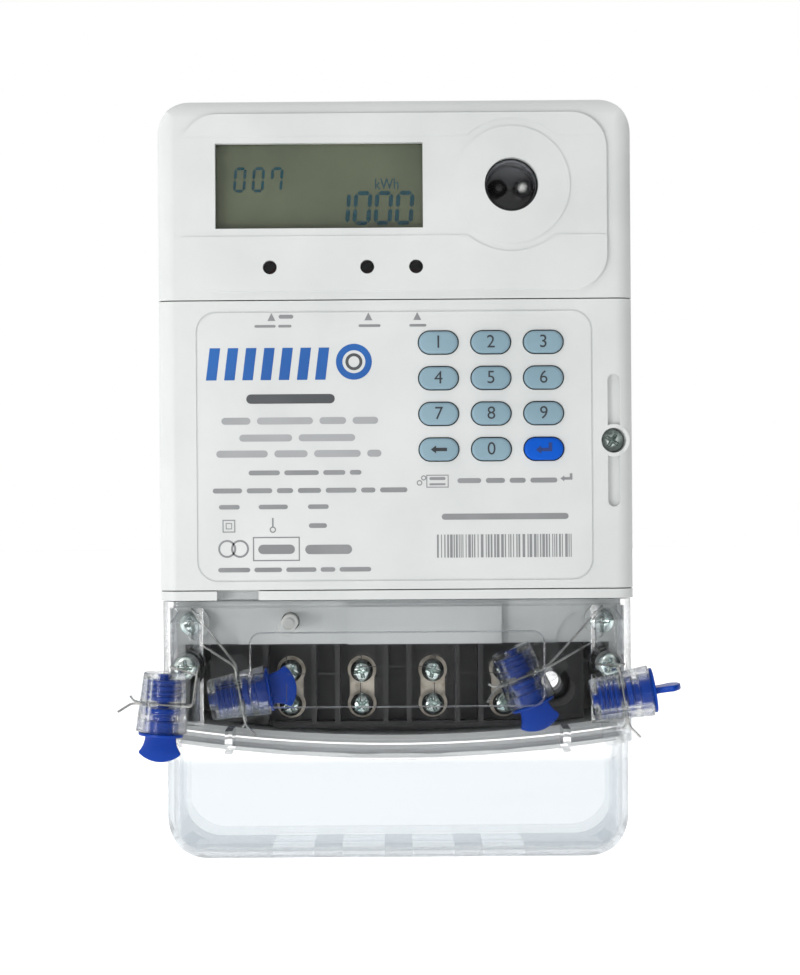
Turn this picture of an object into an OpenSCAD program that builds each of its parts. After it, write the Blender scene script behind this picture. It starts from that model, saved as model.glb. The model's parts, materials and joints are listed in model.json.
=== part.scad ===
// Wall-mounted prepayment electricity meter with a keypad, a clear terminal cover and four twist seals.
// Millimetres. +Z is up, the front looks along -Y, and the origin lies on the rear face, on the centre line.

/* [Housing] */
// Width of the case
body_w = 125.4; // [106:0.2:156]
// Height of the head, from its lower seam to the top edge
head_h = 52.8; // [50:0.2:66]
// Height of the nameplate door
door_h = 76.6; // [70:0.2:95]
// Height of the seam between head and door above the origin
seam_z = 47.8; // [44:0.2:60]
// Depth of the rear housing
base_d = 32; // [26:0.5:40]
// Depth from the wall to the door's front face
front_d = 69; // [60:0.5:84]
// Radius of the case's top corners
corner_r = 9.5; // [7:0.5:12]
// Radius of the shoulder between front face and sides
shoulder_r = 4.5; // [3.5:0.5:6]
// Wall thickness of the mouldings
wall = 2.2; // [1.6:0.1:2.8]
// Gap between a lid and what it closes on
seam_gap = 0.3; // [0.2:0.05:0.5]

/* [Display and optical port] */
// Width of the display window
window_w = 54.8; // [40:0.2:58]
// Height of the display window
window_h = 22.5; // [16:0.5:26]
// Distance from the case's left edge to the window
window_inset = 15.5; // [14:0.1:20]
// Height of the window's and the port's centre above the head's seam
window_z = 30; // [27:0.1:32]
// Distance from the case's right edge to the port's centre
port_inset = 31.7; // [30:0.1:34]
// Diameter of the circle that the reading head sits on
port_ring_dia = 31; // [28:0.5:33]
// Diameter of the port's opening
port_dia = 14.2; // [12:0.2:16]
// Distance between the port's two optical elements
port_pair = 6.5; // [5.5:0.1:7]

/* [Keypad] */
// Width of a key
key_w = 10.3; // [8:0.1:12]
// Height of a key
key_h = 5.9; // [4.5:0.1:7]
// Distance between key columns
key_pitch_x = 13.85; // [13:0.05:16]
// Distance between key rows
key_pitch_z = 9.41; // [8:0.01:11]
// How far a key stands out of the door
key_proud = 1.2; // [0.8:0.1:1.6]
// How far a key travels
key_travel = 1; // [0.6:0.1:1.2]

/* [Terminals] */
// Distance between terminals
terminal_pitch = 19.6; // [17:0.1:21]
// Bore of a terminal, for the supply cable
terminal_bore = 9; // [7:0.5:10]
// Distance between a terminal's two screws
clamp_pitch = 9.3; // [8.5:0.1:10.5]
// Diameter of a terminal screw's head
clamp_head = 6.2; // [5.4:0.2:7]
// Height of the terminal bay
bay_h = 42.6; // [40:0.2:50]
// How far the terminal cover reaches below the bay
skirt_h = 29.6; // [24:0.2:40]
// Wall thickness of the clear terminal cover
clear_wall = 1.8; // [1.4:0.1:2.4]

/* [Seals] */
// Length of a seal's clear body
seal_len = 15.5; // [13:0.5:18]
// Diameter of a seal's body at its wing end
seal_dia = 13.4; // [11:0.2:14]
// Diameter of the seal wire
wire_dia = 0.65; // [0.5:0.05:1]

/* [Wall fixing] */
// Distance between the two lower fixing holes
fixing_pitch = 88; // [87:0.5:89]
// Diameter of the fixing holes
fixing_dia = 5; // [4:0.5:6]

/* [Hidden] */
$fn = 48;
eps = 0.01;

// Heights, stacked from the seam
z_top = seam_z + head_h;
z_door_low = seam_z - door_h;
strip_h = 2.4;
z_strip_low = z_door_low - seam_gap - strip_h;
z_cover_top = z_strip_low - 0.4;
z_ledge = z_cover_top - bay_h;
z_low = z_ledge - skirt_h;
half_w = body_w / 2;

// Depths, from the wall
back_t = 2.5;
panel_d = front_d + 1;
ledge_d = 41.8;
door_edge_d = 44;
door_edge_right_d = 42.3;
deck_d = front_d - 14;
board_d = 37;
board_t = 1.6;
bay_d = 46;
clear_front_d = front_d - 3;
skirt_front_d = 42;

// Terminal bay
bay_half = half_w - 2.6;
chin_sag = 4.8;
chin_r = (half_w * half_w + chin_sag * chin_sag) / (2 * chin_sag);
z_bay_low = z_ledge + 2.6;
block_half = half_w - 10.8;
clamp_z = z_cover_top - 20.6;
terminal_x = [for (i = [0:3]) (i - 1.5) * terminal_pitch];
cover_screw_x = half_w - 6.3;
cover_screw_z = z_cover_top - 17.6;
main_screw_x = half_w - 7.2;
main_screw_z = z_cover_top - 6.6;
fixing_z = z_cover_top - 26;
hanger_z = z_top - 16;
hanger_head_dia = 10;

// Head features
window_x = -half_w + window_inset + window_w / 2;
port_x = half_w - port_inset;
head_feature_z = seam_z + window_z;
led_x = [-32.9, -7.2, 5.7];
led_z = seam_z + 8.5;
led_dia = 3.7;

// Keypad
key_x0 = 11.4;
key_top_z = seam_z - 11.6;
key_gap = 0.3;
mat_t = 1;
mat_d = front_d - wall - 2.6;
keypad_board_t = 1.2;

// Door hinge and screw
hinge_x = -(half_w - 2.6);
hinge_d = 45;
hinge_pin_r = 1;
hinge_run = 0.05;
knuckle_r = 2.3;
knuckle_h = 6;
knuckle_z = [seam_z - 12, z_door_low + 12];
door_screw_x = half_w - 5.1;
door_screw_z = seam_z - 37.7;
door_screw_r = 1.5;
door_head_d = front_d - 8;
slot_w = 3.2;
slot_h = 35;

// Fasteners: [shank radius, head radius, head height]
cover_screw = [2, 3.2, 2.6];
post_r = 3.5;
board_screw_r = 1.2;
main_board_half = half_w - 7;
post_x = main_board_half - 5.6;
post_z = [z_top - 12, z_door_low + 8];

// ---------------------------------------------------------------- helpers

// Extrudes a front-view shape from depth d towards the front by t.
module slab(d, t) translate([0, -d, 0]) rotate([90, 0, 0]) linear_extrude(t) children();

// A box given in width, depth from the wall and height ranges.
module block(x, d, z) translate([x[0], -d[1], z[0]]) cube([x[1] - x[0], d[1] - d[0], z[1] - z[0]]);

// A rod along the depth, from depth d0 to d1.
module rod(x, z, r, d0, d1) translate([x, -d0, z]) rotate([90, 0, 0]) cylinder(r = r, h = d1 - d0);

// A rectangle with round corners, in the front view.
module rounded(x, z, r) {
    translate([x[0] + r, z[0]]) square([x[1] - x[0] - 2 * r, z[1] - z[0]]);
    translate([x[0], z[0] + r]) square([x[1] - x[0], z[1] - z[0] - 2 * r]);
    for (cx = [x[0] + r, x[1] - r], cz = [z[0] + r, z[1] - r]) translate([cx, cz]) circle(r);
}

// A stadium, longer along x if w > h.
module stadium(w, h) {
    r = min(w, h) / 2;
    square([max(w - 2 * r, eps), max(h - (w > h ? 0 : 2 * r), eps)], center = true);
    square([max(w - (w > h ? 2 * r : 0), eps), max(h - 2 * r, eps)], center = true);
    for (s = [-1, 1]) translate(w > h ? [s * (w / 2 - r), 0] : [0, s * (h / 2 - r)]) circle(r);
}

// The case's outline: round at the top corners, square below.
module case_outline(inset, low) {
    r = corner_r - inset;
    w = half_w - inset;
    translate([-w, low]) square([2 * w, z_top - corner_r - low]);
    translate([-w + r, low]) square([2 * (w - r), z_top - inset - low]);
    for (s = [-1, 1]) translate([s * (w - r), z_top - corner_r]) circle(r);
}

// A box with round shoulders at the front: w is half the width, d and z are ranges.
module soft_box(w, d, z, r_side, r_top, r_low) intersection() {
    translate([0, 0, z[0]]) linear_extrude(z[1] - z[0]) {
        translate([-w, -d[1] + r_side]) square([2 * w, d[1] - r_side - d[0]]);
        translate([-w + r_side, -d[1]]) square([2 * (w - r_side), d[1] - d[0]]);
        for (s = [-1, 1]) translate([s * (w - r_side), -d[1] + r_side]) circle(r_side);
    }
    translate([-w - 1, 0, 0]) rotate([90, 0, 90]) linear_extrude(2 * w + 2) {
        r = max(r_top, r_low);
        translate([-d[1] + r, z[0]]) square([d[1] - r - d[0], z[1] - z[0]]);
        translate([-d[1], z[0] + r_low]) square([r + eps, z[1] - r_top - z[0] - r_low]);
        if (r_top > 0) translate([-d[1] + r_top, z[1] - r_top]) circle(r_top);
        if (r_low > 0) translate([-d[1] + r_low, z[0] + r_low]) circle(r_low);
    }
}

// The case's outer form, inset everywhere by i, from depth d0 to the front.
module case_form(i, low, d0) {
    r = shoulder_r - i;
    intersection() {
        soft_box(half_w - i, [d0, front_d - i], [low, z_top - i], r, r, 0);
        slab(d0 - 1, front_d - d0 + 2) case_outline(i, low - 1);
    }
}

// The arc that closes the bottom of the terminal bay, offset outwards by grow.
module chin_outline(half, top, low, grow) {
    intersection() {
        translate([-half, low - 40]) square([2 * half, top - low + 40]);
        translate([0, low - grow + chin_r]) circle(chin_r, $fn = 360);
    }
}

// A pan-head screw along the depth: head front at depth d, cross recess, cross-drilled if seal_hole > 0.
module pan_screw(x, z, d, r, head_r, head_t, length, seal_hole = 0, turn = 0) {
    difference() {
        union() {
            rod(x, z, r, d - head_t - length, d - head_t + eps);
            rod(x, z, head_r, d - head_t, d - 0.6);
            translate([x, -(d - 0.6), z]) rotate([90, 0, 0]) cylinder(r1 = head_r, r2 = head_r - 0.8, h = 0.6);
        }
        for (a = [0, 90]) translate([x, -d, z]) rotate([0, a + turn, 0])
            cube([head_r * 1.2, 2.4, 0.9], center = true);
        if (seal_hole > 0) translate([x, -(d - head_t + 0.95), z]) rotate([0, turn, 0])
            cylinder(r = seal_hole, h = 3 * head_r, center = true);
    }
}

// ---------------------------------------------------------------- housing

module rear_housing() color("gainsboro") {
    keyhole_r = fixing_dia / 2;
    difference() {
        union() {
            slab(0, base_d) case_outline(0, z_strip_low);
            slab(0, base_d) chin_outline(bay_half, z_strip_low + 1, z_bay_low, 0);
            slab(0, bay_d - 2.6) chin_outline(bay_half, z_strip_low - 0.1, z_bay_low, 0);
        }
        slab(back_t, base_d) case_outline(wall, z_strip_low + wall);
        slab(back_t, bay_d) chin_outline(bay_half - wall, z_cover_top + 1 - wall, z_bay_low + wall, 0);
        block([-block_half, block_half], [back_t, bay_d], [z_cover_top - 5, z_cover_top + 5]);
        // keyhole of the upper fixing
        rod(0, hanger_z, keyhole_r, -1, back_t + 1);
        block([-keyhole_r, keyhole_r], [-1, back_t + 1], [hanger_z - 9, hanger_z]);
        rod(0, hanger_z - 9, hanger_head_dia / 2, -1, back_t + 1);
        // screws of the terminal cover, where they run along the tray's walls
        for (s = [-1, 1]) rod(s * cover_screw_x, cover_screw_z, cover_screw[0] + 0.1, bay_d - 16, bay_d);
        // holes of the lower fixings
        for (s = [-1, 1]) rod(s * fixing_pitch / 2, fixing_z, fixing_dia / 2, -1, back_t + 1);
        // cable mouths below the terminals
        for (x = terminal_x) translate([x, -18, z_ledge - 10]) cylinder(r = terminal_bore / 2 + 1.2, h = 20);
    }
    // shield over the keyhole, so that the screw head stays outside the live space
    difference() {
        block([-9, 9], [back_t - eps, back_t + 5], [hanger_z - 17, hanger_z + 7]);
        block([-7.4, 7.4], [back_t - 1, back_t + 3.6], [hanger_z - 15.4, hanger_z + 5.4]);
    }
    // posts that carry the circuit board
    for (s = [-1, 1], z = post_z) difference() {
        rod(s * post_x, z, post_r, back_t - eps, board_d);
        rod(s * post_x, z, board_screw_r - 0.05, board_d - 9, board_d + 1);
    }
    // bosses for the main cover's screws and the terminal cover's screws
    for (s = [-1, 1]) {
        difference() {
            rod(s * main_screw_x, main_screw_z, 3.9, back_t - eps, bay_d - 2.6);
            rod(s * main_screw_x, main_screw_z, cover_screw[0] + 0.1, bay_d - 14, bay_d);
        }
        difference() {
            rod(s * cover_screw_x, cover_screw_z, 3.2, back_t - eps, bay_d - 3);
            rod(s * cover_screw_x, cover_screw_z, cover_screw[0] + 0.1, bay_d - 16, bay_d);
        }
    }
}

// The band across the head's panel, which widens round the optical port.
module head_band() {
    w = half_w - 6.6;
    translate([-w - 1, head_feature_z - 13.3]) square([2 * w + 2, 26.4]);
    translate([port_x, head_feature_z]) circle(port_ring_dia / 2 + 2.1);
}

module main_cover() color("whitesmoke") {
    panel_half = half_w - 6.6;
    difference() {
        union() {
            difference() {
                case_form(0, z_strip_low, base_d);
                difference() {
                    case_form(wall, z_strip_low + strip_h, base_d - 1);
                    // the deck under the door and the head's lower wall stay
                    block([-half_w, half_w], [deck_d - wall, deck_d], [z_door_low - 1, seam_z + wall]);
                    block([-half_w, half_w], [deck_d - wall, front_d], [seam_z, seam_z + wall]);
                }
            }
            // raised panel of the head
            slab(front_d - 1, 2) rounded([-panel_half, panel_half], [seam_z + 2.2, z_top - 3.8], 9.4);
            // plate above the terminals, with a step in the middle and screw bosses
            block([-bay_half, bay_half], [bay_d - 2.4, bay_d], [z_strip_low - 13, z_strip_low + 1]);
            block([-13.4, 28.4], [bay_d - eps, bay_d + 3], [z_strip_low - 13, z_strip_low + 1]);
            for (s = [-1, 1]) rod(s * main_screw_x, main_screw_z, 4.6, bay_d - 2.4, bay_d + 3);
        }
        // room for the door: in front of the deck and over the side ledges
        block([-half_w - 1, half_w + 1], [deck_d, panel_d + 1], [z_door_low - seam_gap, seam_z]);
        for (s = [-1, 1]) block(s > 0 ? [half_w - 7.5, half_w + 1] : [-half_w - 1, -half_w + 7.5],
            [ledge_d, panel_d + 1], [z_door_low - seam_gap, seam_z]);
        // window of the deck for the contact block
        block([14, 36], [deck_d - wall - 1, deck_d + 1], [key_top_z - 40, key_top_z - 34]);
        // display window, port and indicator holes
        block([window_x - window_w / 2, window_x + window_w / 2], [front_d - 5, panel_d + 1],
            [head_feature_z - window_h / 2, head_feature_z + window_h / 2]);
        rod(port_x, head_feature_z, port_dia / 2, front_d - 6, panel_d + 1);
        for (x = led_x) rod(x, led_z, led_dia / 2, front_d - 6, panel_d + 1);
        // shallow band and the reading head's circle
        slab(panel_d - 0.25, 1) difference() {
            head_band();
            translate([port_x, head_feature_z]) circle(port_ring_dia / 2);
        }
        // notch for the terminal cover's hook
        block([-47.5, -36.5], [front_d - 6.6, panel_d], [z_strip_low - 1, z_door_low]);
        // shallow round recesses in the plate, beside the screw bosses
        for (s = [-1, 1]) slab(bay_d - 1.4, 2) difference() {
            translate([s * (bay_half - 7.5), z_strip_low - 13.4]) circle(9.5);
            translate([s * main_screw_x, main_screw_z]) circle(4.6);
        }
        // screw holes and the plunger's hole
        for (s = [-1, 1]) rod(s * main_screw_x, main_screw_z, cover_screw[0] + 0.2, bay_d - 5, bay_d + 5);
        rod(tamper_x, tamper_z, plunger_r + 0.3, bay_d - 5, panel_d);
    }
    // walls of the deck, which the door slips over
    for (s = [-1, 1]) difference() {
        block(s > 0 ? [half_w - 7.5 - wall, half_w - 7.5] : [-half_w + 7.5, -half_w + 7.5 + wall],
            [ledge_d - wall, deck_d - wall + eps], [z_door_low, seam_z]);
    }
    for (s = [-1, 1]) block(s > 0 ? [half_w - 7.5, half_w - wall + eps] : [-half_w + wall - eps, -half_w + 7.5],
        [ledge_d - wall, ledge_d], [z_door_low, seam_z]);
    // lugs that hold the hinge pins
    for (z = knuckle_z) difference() {
        union() {
            translate([hinge_x, -hinge_d, z + 0.3]) cylinder(r = knuckle_r, h = knuckle_h);
            block([hinge_x - 0.6, hinge_x + knuckle_r], [ledge_d - 1, hinge_d], [z + 0.3, z + 0.3 + knuckle_h]);
        }
        translate([hinge_x, -hinge_d, z - 1]) cylinder(r = hinge_pin_r, h = knuckle_h + 3);
    }
    // boss for the door's screw
    difference() {
        block([door_screw_x - 3, door_screw_x + 2.7], [ledge_d - eps, deck_d - 3],
            [door_screw_z - 3, door_screw_z + 3]);
        rod(door_screw_x, door_screw_z, door_screw_r + 0.5, ledge_d + 2, deck_d - 2);
    }
}

module cover_gasket() color("dimgray") slab(base_d - 1.2, 1.1) difference() {
    case_outline(wall + 0.1, z_strip_low + wall + 0.1);
    case_outline(wall + 1.6, z_strip_low + wall + 1.6);
}

module door() color("whitesmoke") {
    low = z_door_low;
    high = seam_z - seam_gap;
    difference() {
        union() {
            difference() {
                intersection() {
                    case_form(0, low - 5, door_edge_right_d);
                    union() {
                        block([-half_w - 1, half_w + 1], [door_edge_d, front_d + 1], [low, high]);
                        block([0, half_w + 1], [door_edge_right_d, front_d], [low, high]);
                    }
                }
                intersection() {
                    case_form(wall, low - 5, door_edge_right_d - 1);
                    block([-half_w, half_w], [door_edge_right_d - 2, front_d], [low - 1, high + 1]);
                }
            }
            // end walls
            for (z = [low, high - 1.4]) intersection() {
                case_form(0.5, low - 5, door_edge_d);
                block([-half_w, half_w], [deck_d + 0.4, front_d - 1], [z, z + 1.4]);
            }
            // collar and column round the screw
            rod(door_screw_x, door_screw_z, 4.2, deck_d + 1, front_d - 0.4);
            // knuckles
            for (z = knuckle_z) translate([hinge_x, -hinge_d, z - knuckle_h]) cylinder(r = knuckle_r, h = knuckle_h);
            // rails that carry the keypad board
            for (s = [-1, 1]) block([keypad_c + s * (keypad_w / 2 + 0.9) - 0.8, keypad_c + s * (keypad_w / 2 + 0.9) + 0.8],
                [mat_d - keypad_board_t, front_d - 1], [keypad_low, keypad_high]);
        }
        // keys
        for (row = [0:3], col = [0:2]) translate([key_x0 + col * key_pitch_x, -front_d - 1, key_top_z - row * key_pitch_z])
            rotate([-90, 0, 0]) linear_extrude(wall + 2) stadium(key_w + 2 * key_gap, key_h + 2 * key_gap);
        // border groove of the nameplate
        slab(front_d - 0.3, 1) difference() {
            rounded([-half_w + 10.1, half_w - 10.5], [low + 2.2, high - 2.6], 5.6);
            rounded([-half_w + 10.6, half_w - 11], [low + 2.7, high - 3.1], 5.1);
        }
        // finger slot in the right shoulder, on both sides of the screw
        translate([door_screw_x, -front_d - 1, door_screw_z]) rotate([-90, 0, 0]) linear_extrude(2.5) difference() {
            stadium(slot_w, slot_h);
            circle(4.3);
        }
        // screw hole, with a seat for the head
        rod(door_screw_x, door_screw_z, 3.3, door_head_d, front_d + 2);
        rod(door_screw_x, door_screw_z, door_screw_r + 0.15, deck_d - 5, door_head_d);
        // running bores of the hinge
        for (z = knuckle_z) translate([hinge_x, -hinge_d, z - knuckle_h - 1]) cylinder(r = hinge_pin_r + hinge_run, h = knuckle_h + 1.2);
        // clearance for the cover's lugs
        for (z = knuckle_z) block([-half_w - 1, hinge_x + 3.4], [door_edge_d - 1, hinge_d + 3.4], [z, z + knuckle_h + 0.6]);
    }
}

module door_hinge_pins() color("silver")
    for (z = knuckle_z) translate([hinge_x, -hinge_d, z - knuckle_h + 0.5]) cylinder(r = hinge_pin_r, h = 2 * knuckle_h - 0.5);

module door_screw() color("silver")
    pan_screw(door_screw_x, door_screw_z, door_head_d + 2.4, door_screw_r, 2.95, 2.4, 11.4, 0, 12);

// ---------------------------------------------------------------- display and port

module lcd_window() color([0.8, 0.85, 0.85, 0.3])
    block([window_x - window_w / 2 - 2, window_x + window_w / 2 + 2], [front_d - wall - 1.6, front_d - wall - 0.05],
        [head_feature_z - window_h / 2 - 2, head_feature_z + window_h / 2 + 2]);

module lcd_glass() color("darkolivegreen")
    block([window_x - window_w / 2 - 3, window_x + window_w / 2 + 3], [front_d - wall - 4.6, front_d - wall - 2],
        [head_feature_z - window_h / 2 - 3, head_feature_z + window_h / 2 + 3]);

module lcd_holder() color("white") {
    x = [window_x - window_w / 2 - 4, window_x + window_w / 2 + 4];
    z = [head_feature_z - window_h / 2 - 4, head_feature_z + window_h / 2 + 4];
    back = board_d + board_t;
    front = front_d - wall - 4.7;
    difference() {
        block(x, [back, front], z);
        block([x[0] + 1.6, x[1] - 1.6], [back - 1, front - 2], [z[0] + 1.6, z[1] - 1.6]);
        // room for the board screw's head
        rod(-post_x, post_z[0], 3.2, back - 1, back + 2.4);
    }
}

module port_lens() color([0.1, 0.1, 0.1, 0.6]) difference() {
    union() {
        rod(port_x, head_feature_z, port_dia / 2 - 0.1, front_d - wall - 1.2, front_d - 1.4);
        rod(port_x, head_feature_z, port_dia / 2 + 1.4, front_d - wall - 1.2, front_d - wall - 0.05);
    }
    rod(port_x, head_feature_z, port_dia / 2 - 1, front_d - wall - 2, front_d - wall);
}

module port_keeper_ring() color("silver") slab(front_d - wall - 3, 1.7) translate([port_x, head_feature_z]) difference() {
    circle(port_ring_dia / 2 - 1.5);
    circle(port_dia / 2 + 0.2);
}

// Emitter and receiver behind the port, in a dark shroud on one carrier.
module optical_pair() color("black") {
    carrier = [board_d + board_t, 54];
    difference() {
        block([port_x - 7, port_x + 7], carrier, [head_feature_z - 4.5, head_feature_z + 4.5]);
        block([port_x - 5.5, port_x + 5.5], [carrier[0] - 1, carrier[1] - 2], [head_feature_z - 3, head_feature_z + 3]);
    }
    difference() {
        rod(port_x, head_feature_z, port_dia / 2 - 0.1, carrier[1] - eps, front_d - wall - 1.55);
        rod(port_x, head_feature_z, port_dia / 2 - 0.9, carrier[1] + 2, front_d);
    }
    for (s = [-1, 1]) {
        rod(port_x + s * port_pair / 2, head_feature_z, 2.45, carrier[1] + 1, carrier[1] + 5.5);
        translate([port_x + s * port_pair / 2, -carrier[1] - 5.5, head_feature_z]) sphere(r = 2.45);
    }
}

module led_pipes() color([0.8, 0.3, 0.3, 0.6])
    for (x = led_x) {
        rod(x, led_z, led_dia / 2 - 0.1, front_d - wall - 14, front_d - 1.2);
        rod(x, led_z, led_dia / 2 + 0.8, front_d - wall - 1, front_d - wall - 0.05);
    }

module status_leds() color("firebrick")
    for (x = led_x) {
        rod(x, led_z, 1.5, board_d + board_t, board_d + board_t + 8);
        rod(x, led_z, 1.9, board_d + board_t, board_d + board_t + 1);
    }

// ---------------------------------------------------------------- electronics

module main_board() color("darkgreen") difference() {
    slab(board_d, board_t) rounded([-main_board_half, main_board_half], [z_door_low + 2, z_top - 6], 6);
    for (s = [-1, 1], z = post_z) rod(s * post_x, z, board_screw_r + 0.3, board_d - 1, board_d + board_t + 1);
}

module board_screws() color("silver")
    for (s = [-1, 1], z = post_z)
        pan_screw(s * post_x, z, board_d + board_t + 1.8, board_screw_r - 0.1, 2.4, 1.8, 7);

keypad_c = key_x0 + key_pitch_x;
keypad_w = 2 * key_pitch_x + key_w + 4;
keypad_high = key_top_z + key_h / 2 + 3;
keypad_low = key_top_z - 3 * key_pitch_z - key_h / 2 - 9;

module keypad_board() color("darkgreen")
    block([keypad_c - keypad_w / 2, keypad_c + keypad_w / 2], [mat_d - keypad_board_t, mat_d - 0.05], [keypad_low, keypad_high]);

// Silicone sheet with a well round each key.
module keypad_mat() color("lightsteelblue") difference() {
    block([keypad_c - keypad_w / 2, keypad_c + keypad_w / 2], [mat_d, mat_d + mat_t + 1.4], [keypad_low + 0.5, keypad_high]);
    for (row = [0:3], col = [0:2]) translate([key_x0 + col * key_pitch_x, -mat_d - 5, key_top_z - row * key_pitch_z])
        rotate([-90, 0, 0]) linear_extrude(6) stadium(key_w + 1.2, key_h + 1.2);
}

// A key's body with its stepped cap.
module key(row, col) {
    x = key_x0 + col * key_pitch_x;
    z = key_top_z - row * key_pitch_z;
    back = mat_d + key_travel + 0.25;
    front = front_d + key_proud;
    translate([x, 0, z]) {
        slab(back, front - back - 0.5) stadium(key_w, key_h);
        slab(front - 0.5 - eps, 0.5 + eps) stadium(key_w - 0.8, key_h - 0.8);
    }
}

module contact_block() color("black")
    block([18, 32], [board_d + board_t, mat_d - keypad_board_t - 0.35], [key_top_z - 38.6, key_top_z - 35.4]);

// Metering and processor chips, in their packages.
module processor_chips() color("black")
    for (c = [[-40, 20, 12, 12], [-18, 8, 10, 7], [-44, -8, 7, 5], [42, 34, 8, 8]])
        block([c[0] - c[2] / 2, c[0] + c[2] / 2], [board_d + board_t, board_d + board_t + 2],
            [seam_z - 40 + c[1] - c[3] / 2, seam_z - 40 + c[1] + c[3] / 2]);

module supply_transformer() color("gold")
    block([-50, -26], [board_d - 21, board_d], [seam_z + 8, seam_z + 30]);

module smoothing_capacitors() color("midnightblue")
    for (x = [-14, 0]) rod(x, seam_z + 20, 5.5, board_d - 20, board_d);

module backup_battery() color("gray")
    translate([26, -(board_d - 8), seam_z + 26]) rotate([0, 90, 0]) cylinder(r = 7.2, h = 25);

module buzzer() color("black") rod(38, seam_z + 8, 6, board_d - 8, board_d);

// Latching relay that disconnects the load.
relay_z = [z_door_low + 12, z_door_low + 48];

module relay() color("ivory") {
    block([terminal_x[1] - 42, terminal_x[1] - 4.4], [back_t + 6, back_t + 27], relay_z);
    for (z = [relay_z[0] + 7, relay_z[0] + 29])
        block([terminal_x[1] - 4.5, terminal_x[1] + 3.5], [22, bar_d[0] - 0.02], [z - 5, z + 5]);
}

module current_transformer() color("darkblue") translate([terminal_x[3], -bar_d[0] - 1, z_door_low + 2.6]) difference() {
    cylinder(r = 10.6, h = 10.5);
    translate([0, 0, -1]) cylinder(r = 5, h = 13);
}

// Copper bars of the live side, from the cages to the relay.
module live_bars() color("peru") {
    block([terminal_x[0] - 4, terminal_x[0] + 4], bar_d, [clamp_z + 3, relay_z[0] - 0.05]);
    block([terminal_x[1] - 4, terminal_x[1] + 4], bar_d, [clamp_z + 3, relay_z[0] + 35]);
}

// Copper bar of the neutral side, through the current transformer.
module neutral_bar() color("peru") {
    for (x = [terminal_x[2], terminal_x[3]]) block([x - 4, x + 4], bar_d, [clamp_z + 3, z_door_low + 19.6]);
    block([terminal_x[2] - 4, terminal_x[3] + 4], bar_d, [z_door_low + 14.6, z_door_low + 19.6]);
}

// ---------------------------------------------------------------- terminals

cage_r = terminal_bore / 2;
cage_low = clamp_z - clamp_pitch - 4;
cage_high = clamp_z + 4.6;
cable_d = 18;
bar_d = [24, 26];

module terminal_block() color("dimgray") difference() {
    union() {
        slab(back_t + 0.3, bay_d - 12.3 - back_t) chin_outline(block_half - 0.3, z_cover_top - 5.4, z_bay_low + wall + 0.4, 0);
        // walls between the terminals
        for (x = [for (t = terminal_x, s = [-1, 1]) t + s * 6.6])
            block([x - 0.7, x + 0.7], [bay_d - 12.5, bay_d - 3], [z_bay_low + 5.5, z_cover_top - 12.8]);
        block([-block_half + 18, block_half - 18], [bay_d - 12.5, bay_d - 7], [z_bay_low + 4, z_bay_low + 5.6]);
    }
    for (x = terminal_x) {
        // seat of the cage, cable bore and screw wells
        block([x - 5.8, x + 5.8], [cable_d - 7, bay_d - 14], [cage_low - 0.1, cage_high + 0.1]);
        translate([x, -cable_d, z_ledge - 8]) cylinder(r = cage_r + 0.6, h = 20);
        for (z = [clamp_z, clamp_z - clamp_pitch]) rod(x, z, clamp_head / 2 + 0.9, bay_d - 15, bay_d);
        block([x - 3.4, x + 3.4], [bay_d - 15, bay_d], [clamp_z - clamp_pitch, clamp_z]);
    }
    // way of the bars
    for (x = terminal_x) block([x - 4.4, x + 4.4], [bar_d[0] - 0.6, bar_d[1] + 0.6], [clamp_z, z_cover_top]);
    // lower fixing holes, with room for the screw heads
    for (s = [-1, 1]) {
        rod(s * fixing_pitch / 2, fixing_z, fixing_dia / 2 + 0.3, -1, bay_d);
        rod(s * fixing_pitch / 2, fixing_z, 5.2, back_t + 6, bay_d);
    }
}

module terminal_cages() color("silver") for (x = terminal_x) difference() {
    block([x - 5.5, x + 5.5], [cable_d - 6.8, bay_d - 14.2], [cage_low, cage_high]);
    translate([x, -cable_d, cage_low - 1]) cylinder(r = cage_r, h = cage_high - cage_low + 2);
    for (z = [clamp_z, clamp_z - clamp_pitch]) rod(x, z, 2.6, cable_d, bay_d);
    block([x - 4.1, x + 4.1], [bar_d[0] - 0.1, bar_d[1] + 0.1], [clamp_z + 2.9, cage_high + 1]);
}

module terminal_screws() color("silver") for (x = terminal_x, z = [clamp_z, clamp_z - clamp_pitch])
    pan_screw(x, z, bay_d - 7.6, 2.4, clamp_head / 2, 3.4, 11, 0, x * 7 + z * 11);

// ---------------------------------------------------------------- tamper switch

tamper_x = -29;
tamper_z = z_cover_top - 6.4;
plunger_r = 2.2;
plunger_d = [bay_d - 6, bay_d + 7];

module tamper_switch() color("black") difference() {
    block([tamper_x - 4, tamper_x + 4], [bay_d - 11.95, bay_d - 2.6], [tamper_z - 4.5, tamper_z + 4.5]);
    rod(tamper_x, tamper_z, plunger_r + 0.3, bay_d - 8, bay_d);
}

module tamper_plunger() color("white") {
    rod(tamper_x, tamper_z, plunger_r, plunger_d[0], plunger_d[1]);
}

module main_cover_screws() color("silver")
    for (s = [-1, 1]) pan_screw(s * main_screw_x, main_screw_z, bay_d + 3 + cover_screw[2], cover_screw[0],
        cover_screw[1], cover_screw[2], 13, 0.8);

// ---------------------------------------------------------------- clear terminal cover

well_r = 4.6;
well_d = clear_front_d - 4.4;

// The bay's part of the cover, inset by i.
module bay_form(i) intersection() {
    soft_box(half_w - 0.3 - i, [i > 0 ? 0 : 1, clear_front_d - i], [z_ledge - 1, z_cover_top - i], 5 - i, 0, 5 - i);
    slab(0, front_d) chin_outline(half_w, z_cover_top + 1, z_ledge + i, 0);
}

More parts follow.
